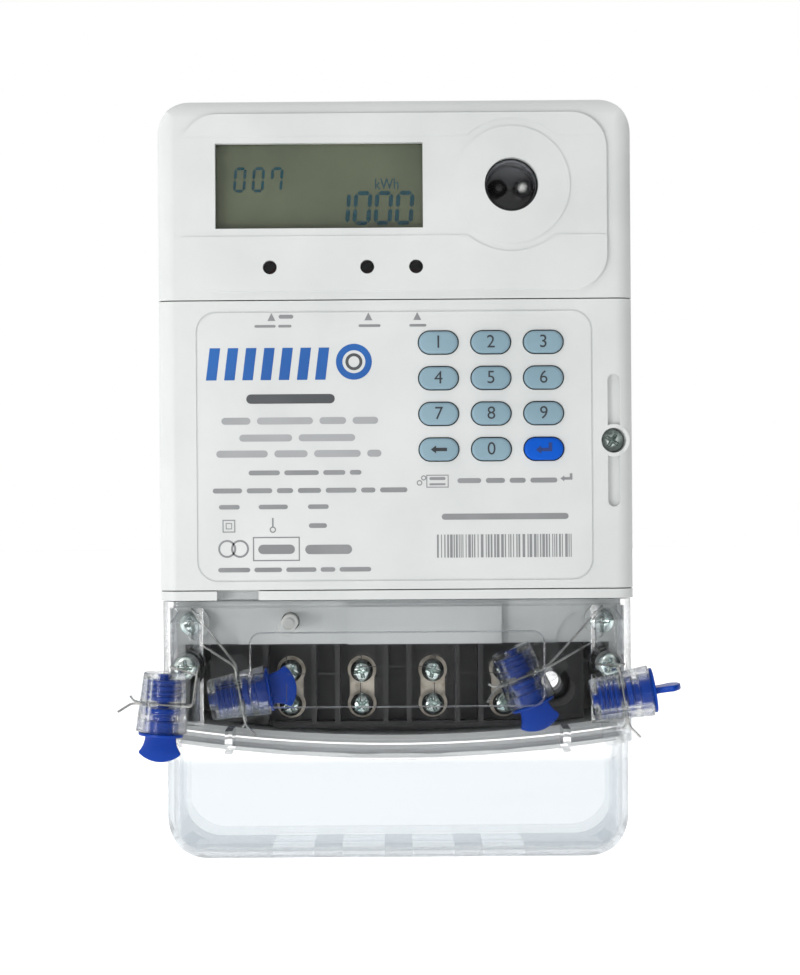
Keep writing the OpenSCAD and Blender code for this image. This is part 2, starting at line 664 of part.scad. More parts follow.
// The skirt below the bay, which hides the cables, inset by i.
module skirt_form(i) {
    w = half_w + 1 - i;
    r = 13 - i;
    intersection() {
        soft_box(w, [i > 0 ? 0 : 1, skirt_front_d - i], [z_low + i, z_ledge + 20 - i], 7 - i, 0, 6 - i);
        slab(0, skirt_front_d) {
            translate([-w, z_low + i + r]) square([2 * w, z_ledge + 20 - z_low - i - r]);
            translate([-w + r, z_low + i]) square([2 * (w - r), z_ledge + 20 - z_low - i]);
            for (s = [-1, 1]) translate([s * (w - r), z_low + i + r]) circle(r);
        }
    }
}

// A finger groove along z through a cover screw's well.
module groove(s, r) {
    translate([s * cover_screw_x, -clear_front_d - 0.5, cover_screw_z - 14]) cylinder(r = r, h = 26);
    translate([s * cover_screw_x, -clear_front_d - 0.5, cover_screw_z + 12]) cylinder(r1 = r, r2 = r * 0.4, h = r * 0.8);
}

module terminal_cover() color([0.85, 0.9, 0.95, 0.35]) difference() {
    union() {
        difference() {
            union() {
                bay_form(0);
                skirt_form(0);
            }
            bay_form(clear_wall);
            skirt_form(clear_wall);
        }
        // sleeves of the two screws, and the backs of their grooves
        for (s = [-1, 1]) {
            rod(s * cover_screw_x, cover_screw_z, 3.6, bay_d - 2.4, well_d);
            intersection() {
                bay_form(0.1);
                union() {
                    rod(s * cover_screw_x, cover_screw_z, well_r + 0.9, well_d - 1.6, clear_front_d - 0.2);
                    translate([s * cover_screw_x, -clear_front_d - 0.5, cover_screw_z - 15.4]) cylinder(r = 5.4, h = 31.8);
                }
            }
        }
        // raised field for the wiring plan
        slab(clear_front_d - 0.5, 0.9) rounded([-39, 39], [z_cover_top - 28.2, z_cover_top - 8.4], 3);
        // post that holds the tamper plunger down
        rod(tamper_x, tamper_z, 1.5, plunger_d[1] + 0.3, clear_front_d - 1);
        rod(tamper_x, tamper_z, 3.1, clear_front_d - clear_wall - 1.2, clear_front_d - 1);
        // ribs on the lower wall
        for (s = [-1, 1]) block([s * (half_w - 17.7) - 1, s * (half_w - 17.7) + 1], [bay_d + 2, clear_front_d - 1],
            [z_ledge + 2, z_ledge + 8]);
        // hook in the main cover's notch
        block([-46, -38], [clear_front_d - 3, clear_front_d - 1.4], [z_cover_top - 2, z_cover_top + 2.2]);
    }
    for (s = [-1, 1]) {
        rod(s * cover_screw_x, cover_screw_z, well_r, well_d, front_d + 2);
        rod(s * cover_screw_x, cover_screw_z, cover_screw[0] + 0.15, bay_d - 4, well_d + 1);
        groove(s, 4);
    }
    // the top wall ends in front of the main cover's plate
    block([-half_w + 0.3 + clear_wall, half_w - 0.3 - clear_wall], [-1, bay_d + 3.4], [z_cover_top - clear_wall - 0.1, z_cover_top + 1]);
    // cable entries below the terminals
    for (x = terminal_x) block([x - cage_r - 1.4, x + cage_r + 1.4], [4, skirt_front_d - 12], [z_low - 1, z_low + clear_wall + 1]);
}

head_t = 3;
head_front_d = well_d + 0.05 + head_t;

module terminal_cover_screws() color("silver")
    for (s = [-1, 1]) pan_screw(s * cover_screw_x, cover_screw_z, head_front_d, cover_screw[0],
        3, head_t, 25, 0.8, 90);

// ---------------------------------------------------------------- seals

// The axis of a seal points from the wire end to the wing; the turn about that axis comes first.
seal_r = seal_dia / 2;
seal_bore = seal_r - 1.9;
wire_r = wire_dia / 2;
wire_z = 8.3;
wire_y = 2.8;

// Turns and moves a point: about z by a[0], then about y by a[1], then about z by a[2], then by o.
function turn_z(p, a) = [p[0] * cos(a) - p[1] * sin(a), p[0] * sin(a) + p[1] * cos(a), p[2]];
function turn_y(p, a) = [p[0] * cos(a) + p[2] * sin(a), p[1], p[2] * cos(a) - p[0] * sin(a)];
function placed(p, a, o) = turn_z(turn_y(turn_z(p, a[0]), a[1]), a[2]) + o;
module place(a, o) translate(o) rotate([0, 0, a[2]]) rotate([0, a[1], 0]) rotate([0, 0, a[0]]) children();

// Poses: [turn about the axis, tilt of the axis, turn about z] and the wire end's centre.
outer_d = clear_front_d + 1 + seal_r;
inner_d = bay_d + 2.1 + seal_r;
pose_ol = [[0, 184, 0], [-cover_screw_x - 4.6, -outer_d, cover_screw_z - 0.6]];
pose_or = [[0, 81, 0], [cover_screw_x - 5.4, -outer_d, cover_screw_z - 8.6]];
pose_il = [[0, 80, 0], [-cover_screw_x + 6, -inner_d, cover_screw_z - 9.4]];
pose_ir = [[0, 158, 0], [cover_screw_x - 26, -inner_d, cover_screw_z + 3.9]];

// Clear tapered cup with the wire holes, the snap ridge, outer ribs and the flag.
module seal_body(pose, flag, reach = 10) place(pose[0], pose[1]) difference() {
    union() {
        rotate_extrude() polygon([[2, 0], [seal_r - 1.5, 0], [seal_r - 1.2, 0.5], [seal_r, seal_len], [seal_bore, seal_len],
            [seal_bore, seal_len - 3], [seal_bore - 0.9, seal_len - 3.2], [seal_bore - 0.9, seal_len - 4.2],
            [seal_bore, seal_len - 4.4], [seal_bore, 1.2], [2, 1.2]]);
        rotate([90, 0, flag]) translate([0, 0, -0.5]) linear_extrude(1)
            polygon([[seal_r - 1.2, 1.5], [seal_r + 0.35 * reach, 1.2], [seal_r + 0.95 * reach, 2.5],
                [seal_r + 0.85 * reach, 4.5], [seal_r + reach, 6], [seal_r + 0.9 * reach, 10.5],
                [seal_r + 0.2 * reach, 12.2], [seal_r - 0.7, 12.5]]);
        for (a = [60, 180, 300]) rotate([0, 0, flag + a]) translate([seal_r - 1.6, -0.4, 1]) cube([1.8, 0.8, seal_len - 1.6]);
    }
    for (y = [-wire_y, wire_y]) translate([0, y, wire_z]) rotate([0, 90, 0])
        cylinder(r = wire_r + 0.15, h = 3 * seal_r, center = true);
}

// Rotor: shaft end, ribbed core with a waist for the wire, snap neck, end disc and the wing that gets twisted.
module seal_rotor(pose, turn = 0) place(pose[0], pose[1]) rotate([0, 0, turn]) {
    core = seal_bore - 0.35;
    neck = seal_bore - 1.3;
    difference() {
        rotate_extrude() polygon([[0, 0.3], [1.6, 0.3], [1.6, 2], [core, 2], [core, wire_z - 1], [1.7, wire_z - 0.9],
            [1.7, wire_z + 0.9], [core, wire_z + 1], [core, seal_len - 4.8], [neck, seal_len - 4.6],
            [neck, seal_len - 2.8], [core, seal_len - 2.6], [core, seal_len + 0.35], [seal_r - 0.8, seal_len + 0.35],
            [seal_r - 0.8, seal_len + 1.1], [0, seal_len + 1.1]]);
        for (a = [0:45:315]) rotate([0, 0, a]) translate([core - 1.1, -0.5, 1.5]) cube([2, 1, wire_z - 3.4]);
    }
    translate([0, 0.8, seal_len + 1]) rotate([90, 0, 0]) linear_extrude(1.6)
        polygon([[-3.9, 0], [3.9, 0], [4.1, 1.6], [4.7, 3.2], [5.7, 4.6], [4.3, 5.8], [2.3, 6.6], [0, 6.9],
            [-2.3, 6.6], [-4.3, 5.8], [-5.7, 4.6], [-4.7, 3.2], [-4.1, 1.6]]);
}

// Wire through the head's cross hole (ends at hole[0], hole[1]) and both holes of the seal.
module seal_wire(pose, hole, bend) {
    reach = seal_r + 1.2;
    a = placed([-reach, -wire_y, wire_z], pose[0], pose[1]);
    b = placed([-reach, wire_y, wire_z], pose[0], pose[1]);
    a_out = placed([reach, -wire_y, wire_z], pose[0], pose[1]);
    b_out = placed([reach, wire_y, wire_z], pose[0], pose[1]);
    tail_a = placed([reach + 3.5, -wire_y - 2, wire_z + 2.5], pose[0], pose[1]);
    tail_b = placed([reach + 1.2, wire_y + 1, wire_z - 1.5], pose[0], pose[1]);
    path = concat([tail_a, a_out, a], bend[0], [hole[0], hole[1]], bend[1], [b, b_out, tail_b]);
    for (i = [0:len(path) - 2]) hull() {
        translate(path[i]) sphere(wire_r, $fn = 12);
        translate(path[i + 1]) sphere(wire_r, $fn = 12);
    }
}

// Ends of a screw's cross hole: side s, head back at depth d, turned by t about the screw's axis.
function hole_ends(x, z, d, r, t) = [for (s = [1, -1]) [x + s * r * sin(t), -(d + 0.95), z + s * r * cos(t)]];

hole_ol = hole_ends(-cover_screw_x, cover_screw_z, well_d + 0.05, 3.7, 90);
hole_or = hole_ends(cover_screw_x, cover_screw_z, well_d + 0.05, 3.7, 270);
hole_il = hole_ends(-main_screw_x, main_screw_z, bay_d + 3, 4, 180);
hole_ir = hole_ends(main_screw_x, main_screw_z, bay_d + 3, 4, 180);

module seal_body_outer_left() color([0.85, 0.9, 0.95, 0.4]) seal_body(pose_ol, 0);
module seal_rotor_outer_left() color("mediumblue") seal_rotor(pose_ol);
module seal_wire_outer_left() color("silver") seal_wire(pose_ol, hole_ol,
    [[hole_ol[0] + [0, -5, 0.4]], [hole_ol[1] + [0, -5, 0.4], hole_ol[0] + [0, -7.4, -1.6]]]);
module seal_body_outer_right() color([0.85, 0.9, 0.95, 0.4]) seal_body(pose_or, 0);
module seal_rotor_outer_right() color("mediumblue") seal_rotor(pose_or, 90);
module seal_wire_outer_right() color("silver") seal_wire(pose_or, hole_or,
    [[hole_or[0] + [0, -5, 0.4]], [hole_or[1] + [0, -5, 0.4]]]);
module seal_body_inner_left() color([0.85, 0.9, 0.95, 0.4]) seal_body(pose_il, 180, 4.4);
module seal_rotor_inner_left() color("mediumblue") seal_rotor(pose_il);
module seal_wire_inner_left() color("silver") seal_wire(pose_il, hole_il,
    [[hole_il[0] + [0, -2, 0]], [hole_il[1] + [0, -2, 0]]]);
module seal_body_inner_right() color([0.85, 0.9, 0.95, 0.4]) seal_body(pose_ir, 180, 6.5);
module seal_rotor_inner_right() color("mediumblue") seal_rotor(pose_ir);
module seal_wire_inner_right() color("silver") seal_wire(pose_ir, hole_ir,
    [[hole_ir[0] + [0, -2, 0]], [hole_ir[1] + [0, -2, 0]]]);

// ---------------------------------------------------------------- keys

module key_1() color("lightsteelblue") key(0, 0);
module key_2() color("lightsteelblue") key(0, 1);
module key_3() color("lightsteelblue") key(0, 2);
module key_4() color("lightsteelblue") key(1, 0);
module key_5() color("lightsteelblue") key(1, 1);
module key_6() color("lightsteelblue") key(1, 2);
module key_7() color("lightsteelblue") key(2, 0);
module key_8() color("lightsteelblue") key(2, 1);
module key_9() color("lightsteelblue") key(2, 2);
module key_back() color("lightsteelblue") key(3, 0);
module key_0() color("lightsteelblue") key(3, 1);
module key_enter() color("royalblue") key(3, 2);

// ---------------------------------------------------------------- assembly

rear_housing();
main_cover();
cover_gasket();
door();
door_hinge_pins();
door_screw();
lcd_window();
lcd_glass();
lcd_holder();
port_lens();
port_keeper_ring();
optical_pair();
led_pipes();
status_leds();
main_board();
board_screws();
keypad_board();
keypad_mat();
key_1();
key_2();
key_3();
key_4();
key_5();
key_6();
key_7();
key_8();
key_9();
key_back();
key_0();
key_enter();
contact_block();
processor_chips();
supply_transformer();
smoothing_capacitors();
backup_battery();
buzzer();
relay();
current_transformer();
live_bars();
neutral_bar();
terminal_block();
terminal_cages();
terminal_screws();
tamper_switch();
tamper_plunger();
main_cover_screws();
terminal_cover();
terminal_cover_screws();
seal_body_outer_left();
seal_rotor_outer_left();
seal_wire_outer_left();
seal_body_outer_right();
seal_rotor_outer_right();
seal_wire_outer_right();
seal_body_inner_left();
seal_rotor_inner_left();
seal_wire_inner_left();
seal_body_inner_right();
seal_rotor_inner_right();
seal_wire_inner_right();
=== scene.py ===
import bpy, bmesh, json, math
import numpy as np
from mathutils import Matrix, Vector


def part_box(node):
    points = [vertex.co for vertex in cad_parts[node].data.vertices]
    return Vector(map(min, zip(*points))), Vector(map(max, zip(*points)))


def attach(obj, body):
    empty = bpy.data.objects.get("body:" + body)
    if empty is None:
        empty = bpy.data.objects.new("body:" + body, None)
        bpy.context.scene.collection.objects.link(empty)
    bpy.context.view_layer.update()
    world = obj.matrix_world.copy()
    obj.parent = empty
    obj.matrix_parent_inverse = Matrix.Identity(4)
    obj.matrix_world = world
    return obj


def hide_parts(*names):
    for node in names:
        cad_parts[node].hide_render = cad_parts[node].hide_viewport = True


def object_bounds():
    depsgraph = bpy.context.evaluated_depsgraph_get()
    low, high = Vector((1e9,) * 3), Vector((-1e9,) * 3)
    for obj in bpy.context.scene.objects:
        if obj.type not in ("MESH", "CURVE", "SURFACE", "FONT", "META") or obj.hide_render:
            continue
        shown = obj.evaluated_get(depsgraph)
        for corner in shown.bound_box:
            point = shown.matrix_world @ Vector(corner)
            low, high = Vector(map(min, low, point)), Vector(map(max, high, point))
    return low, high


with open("model.json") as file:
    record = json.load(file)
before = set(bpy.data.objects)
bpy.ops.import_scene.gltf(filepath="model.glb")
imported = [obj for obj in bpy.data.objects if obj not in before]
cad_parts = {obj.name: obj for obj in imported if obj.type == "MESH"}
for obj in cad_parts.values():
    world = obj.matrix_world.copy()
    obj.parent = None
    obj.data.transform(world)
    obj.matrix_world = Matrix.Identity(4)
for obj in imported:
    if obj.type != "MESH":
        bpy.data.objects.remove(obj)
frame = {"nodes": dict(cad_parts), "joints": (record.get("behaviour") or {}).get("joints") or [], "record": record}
cadLow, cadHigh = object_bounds()
nodes = frame["nodes"]
joints = {j["name"]: j for j in frame["joints"]}
mm = 0.001
print("frame loaded:", len(nodes), "nodes")

# camera, in metres, millimetres of lens and degrees
cameraSetup = {"distance": 0.784, "lens": 100.0, "sensor": 36.0, "roll": 0.4, "shiftX": 0.0041,
    "shiftY": -0.0077, "nearest": 0.02}
camData = bpy.data.cameras.new("camera")
camData.lens = cameraSetup["lens"]
camData.sensor_width = cameraSetup["sensor"]
camData.shift_x = cameraSetup["shiftX"]
camData.shift_y = cameraSetup["shiftY"]
camData.clip_start = cameraSetup["nearest"]
camera = bpy.data.objects.new("camera", camData)
camera.location = (0.0, -cameraSetup["distance"], 0.0)
camera.rotation_euler = (math.radians(90), math.radians(cameraSetup["roll"]), 0)
bpy.context.scene.collection.objects.link(camera)
bpy.context.scene.camera = camera
bpy.context.scene.view_settings.view_transform = "Standard"


# sRGB hex to linear: undo the 2.4 power curve, channel by channel
def hexColor(code):
    raw = [int(code[i:i + 2], 16) / 255 for i in (1, 3, 5)]
    return tuple(c / 12.92 if c <= 0.04045 else ((c + 0.055) / 1.055) ** 2.4 for c in raw) + (1.0,)


# adds one node, sets its properties and input values, and links the (socket, output) pairs
def addNode(tree, kind, props=None, values=None, links=None):
    node = tree.nodes.new(kind)
    for key, value in (props or {}).items():
        setattr(node, key, value)
    for key, value in (values or {}).items():
        node.inputs[key].default_value = value
    for key, source in (links or {}).items():
        tree.links.new(source, node.inputs[key])
    return node


# a fresh material with its shader and output, and the object coordinates
def newMaterial(name, shader):
    mat = bpy.data.materials.new(name)
    mat.use_nodes = True
    tree = mat.node_tree
    tree.nodes.clear()
    out = addNode(tree, "ShaderNodeOutputMaterial")
    bsdf = addNode(tree, "ShaderNodeBsdfPrincipled", values=shader)
    tree.links.new(bsdf.outputs[0], out.inputs[0])
    coords = addNode(tree, "ShaderNodeTexCoord")
    return mat, tree, bsdf, coords.outputs["Object"]


# fills a colour ramp from (position, colour) stops
def fillRamp(ramp, stops):
    while len(ramp.color_ramp.elements) > 1:
        ramp.color_ramp.elements.remove(ramp.color_ramp.elements[-1])
    ramp.color_ramp.elements[0].position = stops[0][0]
    ramp.color_ramp.elements[0].color = stops[0][1]
    for place, color in stops[1:]:
        ramp.color_ramp.elements.new(place).color = color


# sizes of the patterns on moulded plastic, in millimetres; scratches are thin, short and long by axis
plasticLook = {"driftMm": 22, "pitRatio": 2.5, "pitShare": 0.5, "polishFall": 0.05, "polishRise": 0.07,
    "reliefMm": 0.05, "scratchMm": (0.5, 4, 14), "scratchTurn": (0, 0.5, 0.2)}


# moulded plastic: spark-eroded grain in the bump, slow tone drift, faint dust and polish changes
def mouldedPlastic(name, light, dark, rough=0.42, grainMm=0.35, bump=0.12, coat=0.0, scratch=0.0,
        specular=0.5):
    look = plasticLook
    mat, tree, bsdf, at = newMaterial(name, {"IOR": 1.52, "Coat Weight": coat, "Coat Roughness": 0.12,
        "Specular IOR Level": specular})
    drift = addNode(tree, "ShaderNodeTexNoise", values={"Scale": 1 / (look["driftMm"] * mm), "Detail": 4.0},
        links={"Vector": at})
    grain = addNode(tree, "ShaderNodeTexNoise", values={"Scale": 1 / (grainMm * mm), "Detail": 2.0},
        links={"Vector": at})
    pits = addNode(tree, "ShaderNodeTexVoronoi", values={"Scale": 1 / (grainMm * look["pitRatio"] * mm)},
        links={"Vector": at})
    tone = addNode(tree, "ShaderNodeValToRGB", links={"Fac": drift.outputs["Fac"]})
    fillRamp(tone, [(0.30, hexColor(dark)), (0.68, hexColor(light))])
    polish = addNode(tree, "ShaderNodeMapRange",
        values={"From Min": 0.3, "From Max": 0.7, "To Min": rough - look["polishFall"],
            "To Max": rough + look["polishRise"]},
        links={"Value": drift.outputs["Fac"]})
    relief = addNode(tree, "ShaderNodeMath", {"operation": "MULTIPLY_ADD"}, {1: look["pitShare"]},
        {0: pits.outputs["Distance"], 2: grain.outputs["Fac"]})
    color = tone.outputs["Color"]
    if scratch:
        longWay = addNode(tree, "ShaderNodeMapping",
            values={"Rotation": look["scratchTurn"], "Scale": tuple(1 / (s * mm) for s in look["scratchMm"])},
            links={"Vector": at})
        lines = addNode(tree, "ShaderNodeTexNoise", values={"Scale": 1.0, "Detail": 3.0},
            links={"Vector": longWay.outputs[0]})
        cut = addNode(tree, "ShaderNodeMapRange",
            values={"From Min": 0.70, "From Max": 0.76, "To Min": 0.0, "To Max": scratch},
            links={"Value": lines.outputs["Fac"]})
        scuff = addNode(tree, "ShaderNodeMix", {"data_type": "RGBA"}, {"B": hexColor(dark)},
            {"Factor": cut.outputs[0], "A": color})
        color = scuff.outputs["Result"]
    tree.links.new(color, bsdf.inputs["Base Color"])
    tree.links.new(polish.outputs[0], bsdf.inputs["Roughness"])
    bumpNode = addNode(tree, "ShaderNodeBump", values={"Strength": bump, "Distance": look["reliefMm"] * mm},
        links={"Height": relief.outputs[0]})
    tree.links.new(bumpNode.outputs[0], bsdf.inputs["Normal"])
    return mat


# stains in the plating and the tool lines' length, in millimetres
metalLook = {"stainMm": 2.2, "lineLengthMm": 2, "polishFall": 0.07, "polishRise": 0.10, "reliefMm": 0.03,
    "bump": 0.10}


# plated or rolled metal: base colour with stain drift, tool lines along one axis and passivation tint
def platedMetal(name, light, dark, rough=0.28, lineMm=0.12, tint=None):
    look = metalLook
    mat, tree, bsdf, at = newMaterial(name, {"Metallic": 1.0})
    stain = addNode(tree, "ShaderNodeTexNoise", values={"Scale": 1 / (look["stainMm"] * mm), "Detail": 4.0},
        links={"Vector": at})
    along = 1 / (look["lineLengthMm"] * mm)
    stretch = addNode(tree, "ShaderNodeMapping", values={"Scale": (along, along, 1 / (lineMm * mm))},
        links={"Vector": at})
    lines = addNode(tree, "ShaderNodeTexNoise", values={"Scale": 1.0, "Detail": 2.0},
        links={"Vector": stretch.outputs[0]})
    tone = addNode(tree, "ShaderNodeValToRGB", links={"Fac": stain.outputs["Fac"]})
    stops = [(0.30, hexColor(dark)), (0.58, hexColor(light))]
    if tint:
        stops.append((0.75, hexColor(tint)))
    fillRamp(tone, stops)
    tree.links.new(tone.outputs["Color"], bsdf.inputs["Base Color"])
    polish = addNode(tree, "ShaderNodeMapRange",
        values={"From Min": 0.3, "From Max": 0.7, "To Min": rough - look["polishFall"],
            "To Max": rough + look["polishRise"]},
        links={"Value": lines.outputs["Fac"]})
    tree.links.new(polish.outputs[0], bsdf.inputs["Roughness"])
    bumpNode = addNode(tree, "ShaderNodeBump",
        values={"Strength": look["bump"], "Distance": look["reliefMm"] * mm},
        links={"Height": lines.outputs["Fac"]})
    tree.links.new(bumpNode.outputs[0], bsdf.inputs["Normal"])
    return mat


# wiping scratches in millimetres by axis, and how far they dull the gloss; the level's blur is in millimetres
clearLook = {"wipeMm": (0.4, 5, 12), "wipeTurn": (0, 0.6, 0), "wipeDull": 0.12, "rippleDeepMm": 0.2,
    "facingLow": 0.05, "facingHigh": 0.95, "toneFrom": 0.35, "toneTo": 0.80, "levelBlurMm": 1.5}


# clear moulding: thin to look through square on, denser and glassier towards its rims, with flow ripple and
# wiping scratches; lower is (level, thin, edge tone) for a part below a level that is thicker and cloudier
def clearPlastic(name, tone, edgeTone, rough=0.03, ior=1.49, rippleMm=9.0, bump=0.06, thin=0.12, rim=0.9,
        specular=0.5, lower=None):
    look = clearLook
    mat, tree, bsdf, at = newMaterial(name, {"IOR": ior, "Transmission Weight": 1.0,
        "Specular IOR Level": specular})
    flow = addNode(tree, "ShaderNodeTexNoise", values={"Scale": 1 / (rippleMm * mm), "Detail": 2.0},
        links={"Vector": at})
    wipe = addNode(tree, "ShaderNodeMapping",
        values={"Rotation": look["wipeTurn"], "Scale": tuple(1 / (s * mm) for s in look["wipeMm"])},
        links={"Vector": at})
    scratches = addNode(tree, "ShaderNodeTexNoise", values={"Scale": 1.0, "Detail": 2.0},
        links={"Vector": wipe.outputs[0]})
    haze = addNode(tree, "ShaderNodeMapRange",
        values={"From Min": 0.66, "From Max": 0.74, "To Min": rough, "To Max": rough + look["wipeDull"]},
        links={"Value": scratches.outputs["Fac"]})
    tree.links.new(haze.outputs[0], bsdf.inputs["Roughness"])
    bumpNode = addNode(tree, "ShaderNodeBump",
        values={"Strength": bump, "Distance": look["rippleDeepMm"] * mm},
        links={"Height": flow.outputs["Fac"]})
    tree.links.new(bumpNode.outputs[0], bsdf.inputs["Normal"])
    facing = addNode(tree, "ShaderNodeLayerWeight", values={"Blend": 0.5}).outputs["Facing"]
    densities, shades = [], []
    for layerThin, layerEdge in [(thin, edgeTone)] + ([lower[1:]] if lower else []):
        density = addNode(tree, "ShaderNodeMapRange",
            values={"From Min": look["facingLow"], "From Max": look["facingHigh"], "To Min": layerThin,
                "To Max": rim},
            links={"Value": facing})
        densities.append(density.outputs[0])
        shade = addNode(tree, "ShaderNodeValToRGB", links={"Fac": facing})
        fillRamp(shade, [(look["toneFrom"], hexColor(tone)), (look["toneTo"], hexColor(layerEdge))])
        shades.append(shade.outputs["Color"])
    alpha, color = densities[0], shades[0]
    if lower:
        blur = look["levelBlurMm"] * mm
        parts = addNode(tree, "ShaderNodeSeparateXYZ", links={0: at})
        below = addNode(tree, "ShaderNodeMapRange", {"interpolation_type": "SMOOTHSTEP"},
            {"From Min": lower[0] + blur, "From Max": lower[0] - blur}, {"Value": parts.outputs["Z"]})
        alpha = addNode(tree, "ShaderNodeMix", {"data_type": "FLOAT"},
            links={"Factor": below.outputs[0], "A": densities[0], "B": densities[1]}).outputs[0]
        color = addNode(tree, "ShaderNodeMix", {"data_type": "RGBA"},
            links={"Factor": below.outputs[0], "A": shades[0], "B": shades[1]}).outputs["Result"]
    tree.links.new(alpha, bsdf.inputs["Alpha"])
    tree.links.new(color, bsdf.inputs["Base Color"])
    return mat


materials = {
    # ABS and polycarbonate blend, injection moulded in a lightly eroded tool: pale warm grey, soft sheen
    "housing_front": mouldedPlastic("absMouldedPaleGrey", "#D2D4D3", "#CACDCC", 0.40, 0.30, 0.14,
        scratch=0.4),
    "housing_rear": mouldedPlastic("absMouldedRearGrey", "#CACCCA", "#C6C8C6", 0.48, 0.45, 0.16, scratch=0.3),
    "holder_white": mouldedPlastic("absMouldedHolder", "#E8E8E2", "#DDDDD6", 0.5),
    # acetal turned from rod: white, waxy, faintly glossy
    "plunger_white": mouldedPlastic("acetalTurnedWhite", "#EDEDE8", "#E2E2DC", 0.35),
    # phenolic compression moulding: near-black, slightly dusty and matt
    "block_black": mouldedPlastic("phenolicMouldedBlack", "#2A2A2A", "#1D1D1D", 0.50, 0.5, 0.22, scratch=0.6),
    "component_black": mouldedPlastic("epoxyMouldedBlack", "#2B2B2D", "#1F1F21", 0.55, 0.25),
    # foamed rubber strip: black, open cells, no gloss
    "gasket_foam": mouldedPlastic("rubberFoamedBlack", "#2A2A2A", "#181818", 0.85, 0.5, 0.5),
    # silicone rubber keys, pressure moulded: bluish grey, dull with a soft bloom
    "key_grey": mouldedPlastic("siliconeMouldedBlueGrey", "#86A0AD", "#7B96A3", 0.50, 0.2, 0.08,
        specular=0.3),
    "key_blue": mouldedPlastic("siliconeMouldedBlue", "#0558C6", "#044EB4", 0.45, 0.2, 0.08, specular=0.12),
    "mat_silicone": mouldedPlastic("siliconeMouldedMat", "#9FB1BB", "#93A6B1", 0.6, 0.3),
    # the board and its parts: solder mask over glass weave, varnished laminations, shrunk and cast shells
    "board_green": mouldedPlastic("solderMaskGreen", "#1E5C38", "#184E30", 0.30, 0.6, 0.1),
    "transformer_core": mouldedPlastic("steelLaminatedVarnished", "#5A5142", "#4A4236", 0.45, 0.5, 0.3),
    "capacitor_sleeve": mouldedPlastic("pvcShrunkSleeveBlue", "#1C2650", "#141B3C", 0.3),
    "relay_case": mouldedPlastic("pbtMouldedIvory", "#DAD5C4", "#CFCAB8", 0.45),
    "toroid_case": mouldedPlastic("epoxyCastBlue", "#1B2F73", "#14245C", 0.35),
    "led_epoxy": mouldedPlastic("epoxyCastRed", "#B8241C", "#8E1712", 0.18),
    "sensor_black": mouldedPlastic("epoxyCastBlack", "#17171A", "#0E0E10", 0.2),
    # nylon rotor and wing of the seal, moulded in strong blue, fairly glossy
    "seal_blue": mouldedPlastic("nylonMouldedBlue", "#0440A6", "#023089", 0.30, 0.3, 0.08, specular=0.15),
    # zinc plate with a clear blue passivation: bright, a little green-blue, stained in the recess
    "zinc_screws": platedMetal("steelZincPlatedBlue", "#DDE6E3", "#9FADA9", 0.16, 0.15, "#B4D6D6"),
    # drawn, stamped and rolled metals: fine tool lines, dulled a little by handling
    "hinge_steel": platedMetal("steelDrawnBright", "#C9C9C6", "#A5A5A2", 0.25, 0.10),
    "keeper_steel": platedMetal("steelStampedNickel", "#B9B7B2", "#97958F", 0.30, 0.20),
    "battery_can": platedMetal("steelDrawnNickel", "#C4C3C0", "#A3A29F", 0.25, 0.3),
    "copper_bar": platedMetal("copperRolledBar", "#D98F6A", "#B06A48", 0.30, 0.10, "#C17A55"),
    "cage_nickel": platedMetal("brassNickelPlated", "#C7C0B4", "#9C9486", 0.36, 0.12, "#B5ADA0"),
    "seal_wire": platedMetal("steelStrandedWire", "#B9B9B6", "#8C8C8A", 0.30, 0.10),
    # clear polycarbonate cover: thick edges go violet-grey, faint flow lines and wiping scratches
    "cover_clear": clearPlastic("polycarbonateMouldedClear", "#B6BFC5", "#24252D", 0.02, 1.50, 12.0, 0.10,
        0.07, 0.98, 0.20, lower=(-76.5 * mm, 0.60, "#A3B0BB")),
    "seal_clear": clearPlastic("polycarbonateMouldedSeal", "#C2CACD", "#7F868B", 0.05, 1.49, 3.0, 0.20,
        0.24, 0.97, 0.35),
    # cut acrylic: flat, glossy and almost free of ripple; the pipe is a darker, cloudier moulding
    "window_clear": clearPlastic("acrylicCutWindow", "#F2F5F3", "#B5BAB8", 0.02, 1.49, 20.0, 0.02, 0.10, 0.8),
    "port_filter": clearPlastic("acrylicCutPortWindow", "#E6E8EC", "#9A9DA4", 0.02, 1.49, 8.0, 0.02, 0.12,
        0.85),
    "pipe_red": clearPlastic("acrylicMouldedPipe", "#5A5A62", "#3C3C42", 0.15, 1.49, 2.0, 0.2, 0.75, 0.95),
    # display glass over its olive reflector: smooth, with a thin hard gloss
    "lcd_panel": mouldedPlastic("glassDisplayOlive", "#666D57", "#5C6350", 0.16, 0.2, 0.02, coat=0.3),
}
for entry in frame["record"]["subparts"]:
    mesh = nodes[entry["node"]].data
    mesh.materials.clear()
    mesh.materials.append(materials[entry["material_slot"]])
print("materials:", len(materials))


# quads between neighbouring rows and columns of a grid of points; each row closes on itself
def gridFaces(rows, columns, closeRows=False):
    a, b = np.meshgrid(np.arange(rows if closeRows else rows - 1), np.arange(columns), indexing="ij")
    a2, b2 = (a + 1) % rows, (b + 1) % columns
    corners = [a * columns + b, a * columns + b2, a2 * columns + b2, a2 * columns + b]
    return np.stack(corners, -1).reshape(-1, 4)


# points through a 4 by 4 matrix: rotate, then shift
def moved(points, matrix):
    m = np.array(matrix)
    return points @ m[:3, :3].T + m[:3, 3]


# a shape turned round z, laid down so that its z runs towards the front from backY
def facingFront(points, x, backY, z):
    return np.column_stack([x + points[:, 0], backY - points[:, 2], z + points[:, 1]])


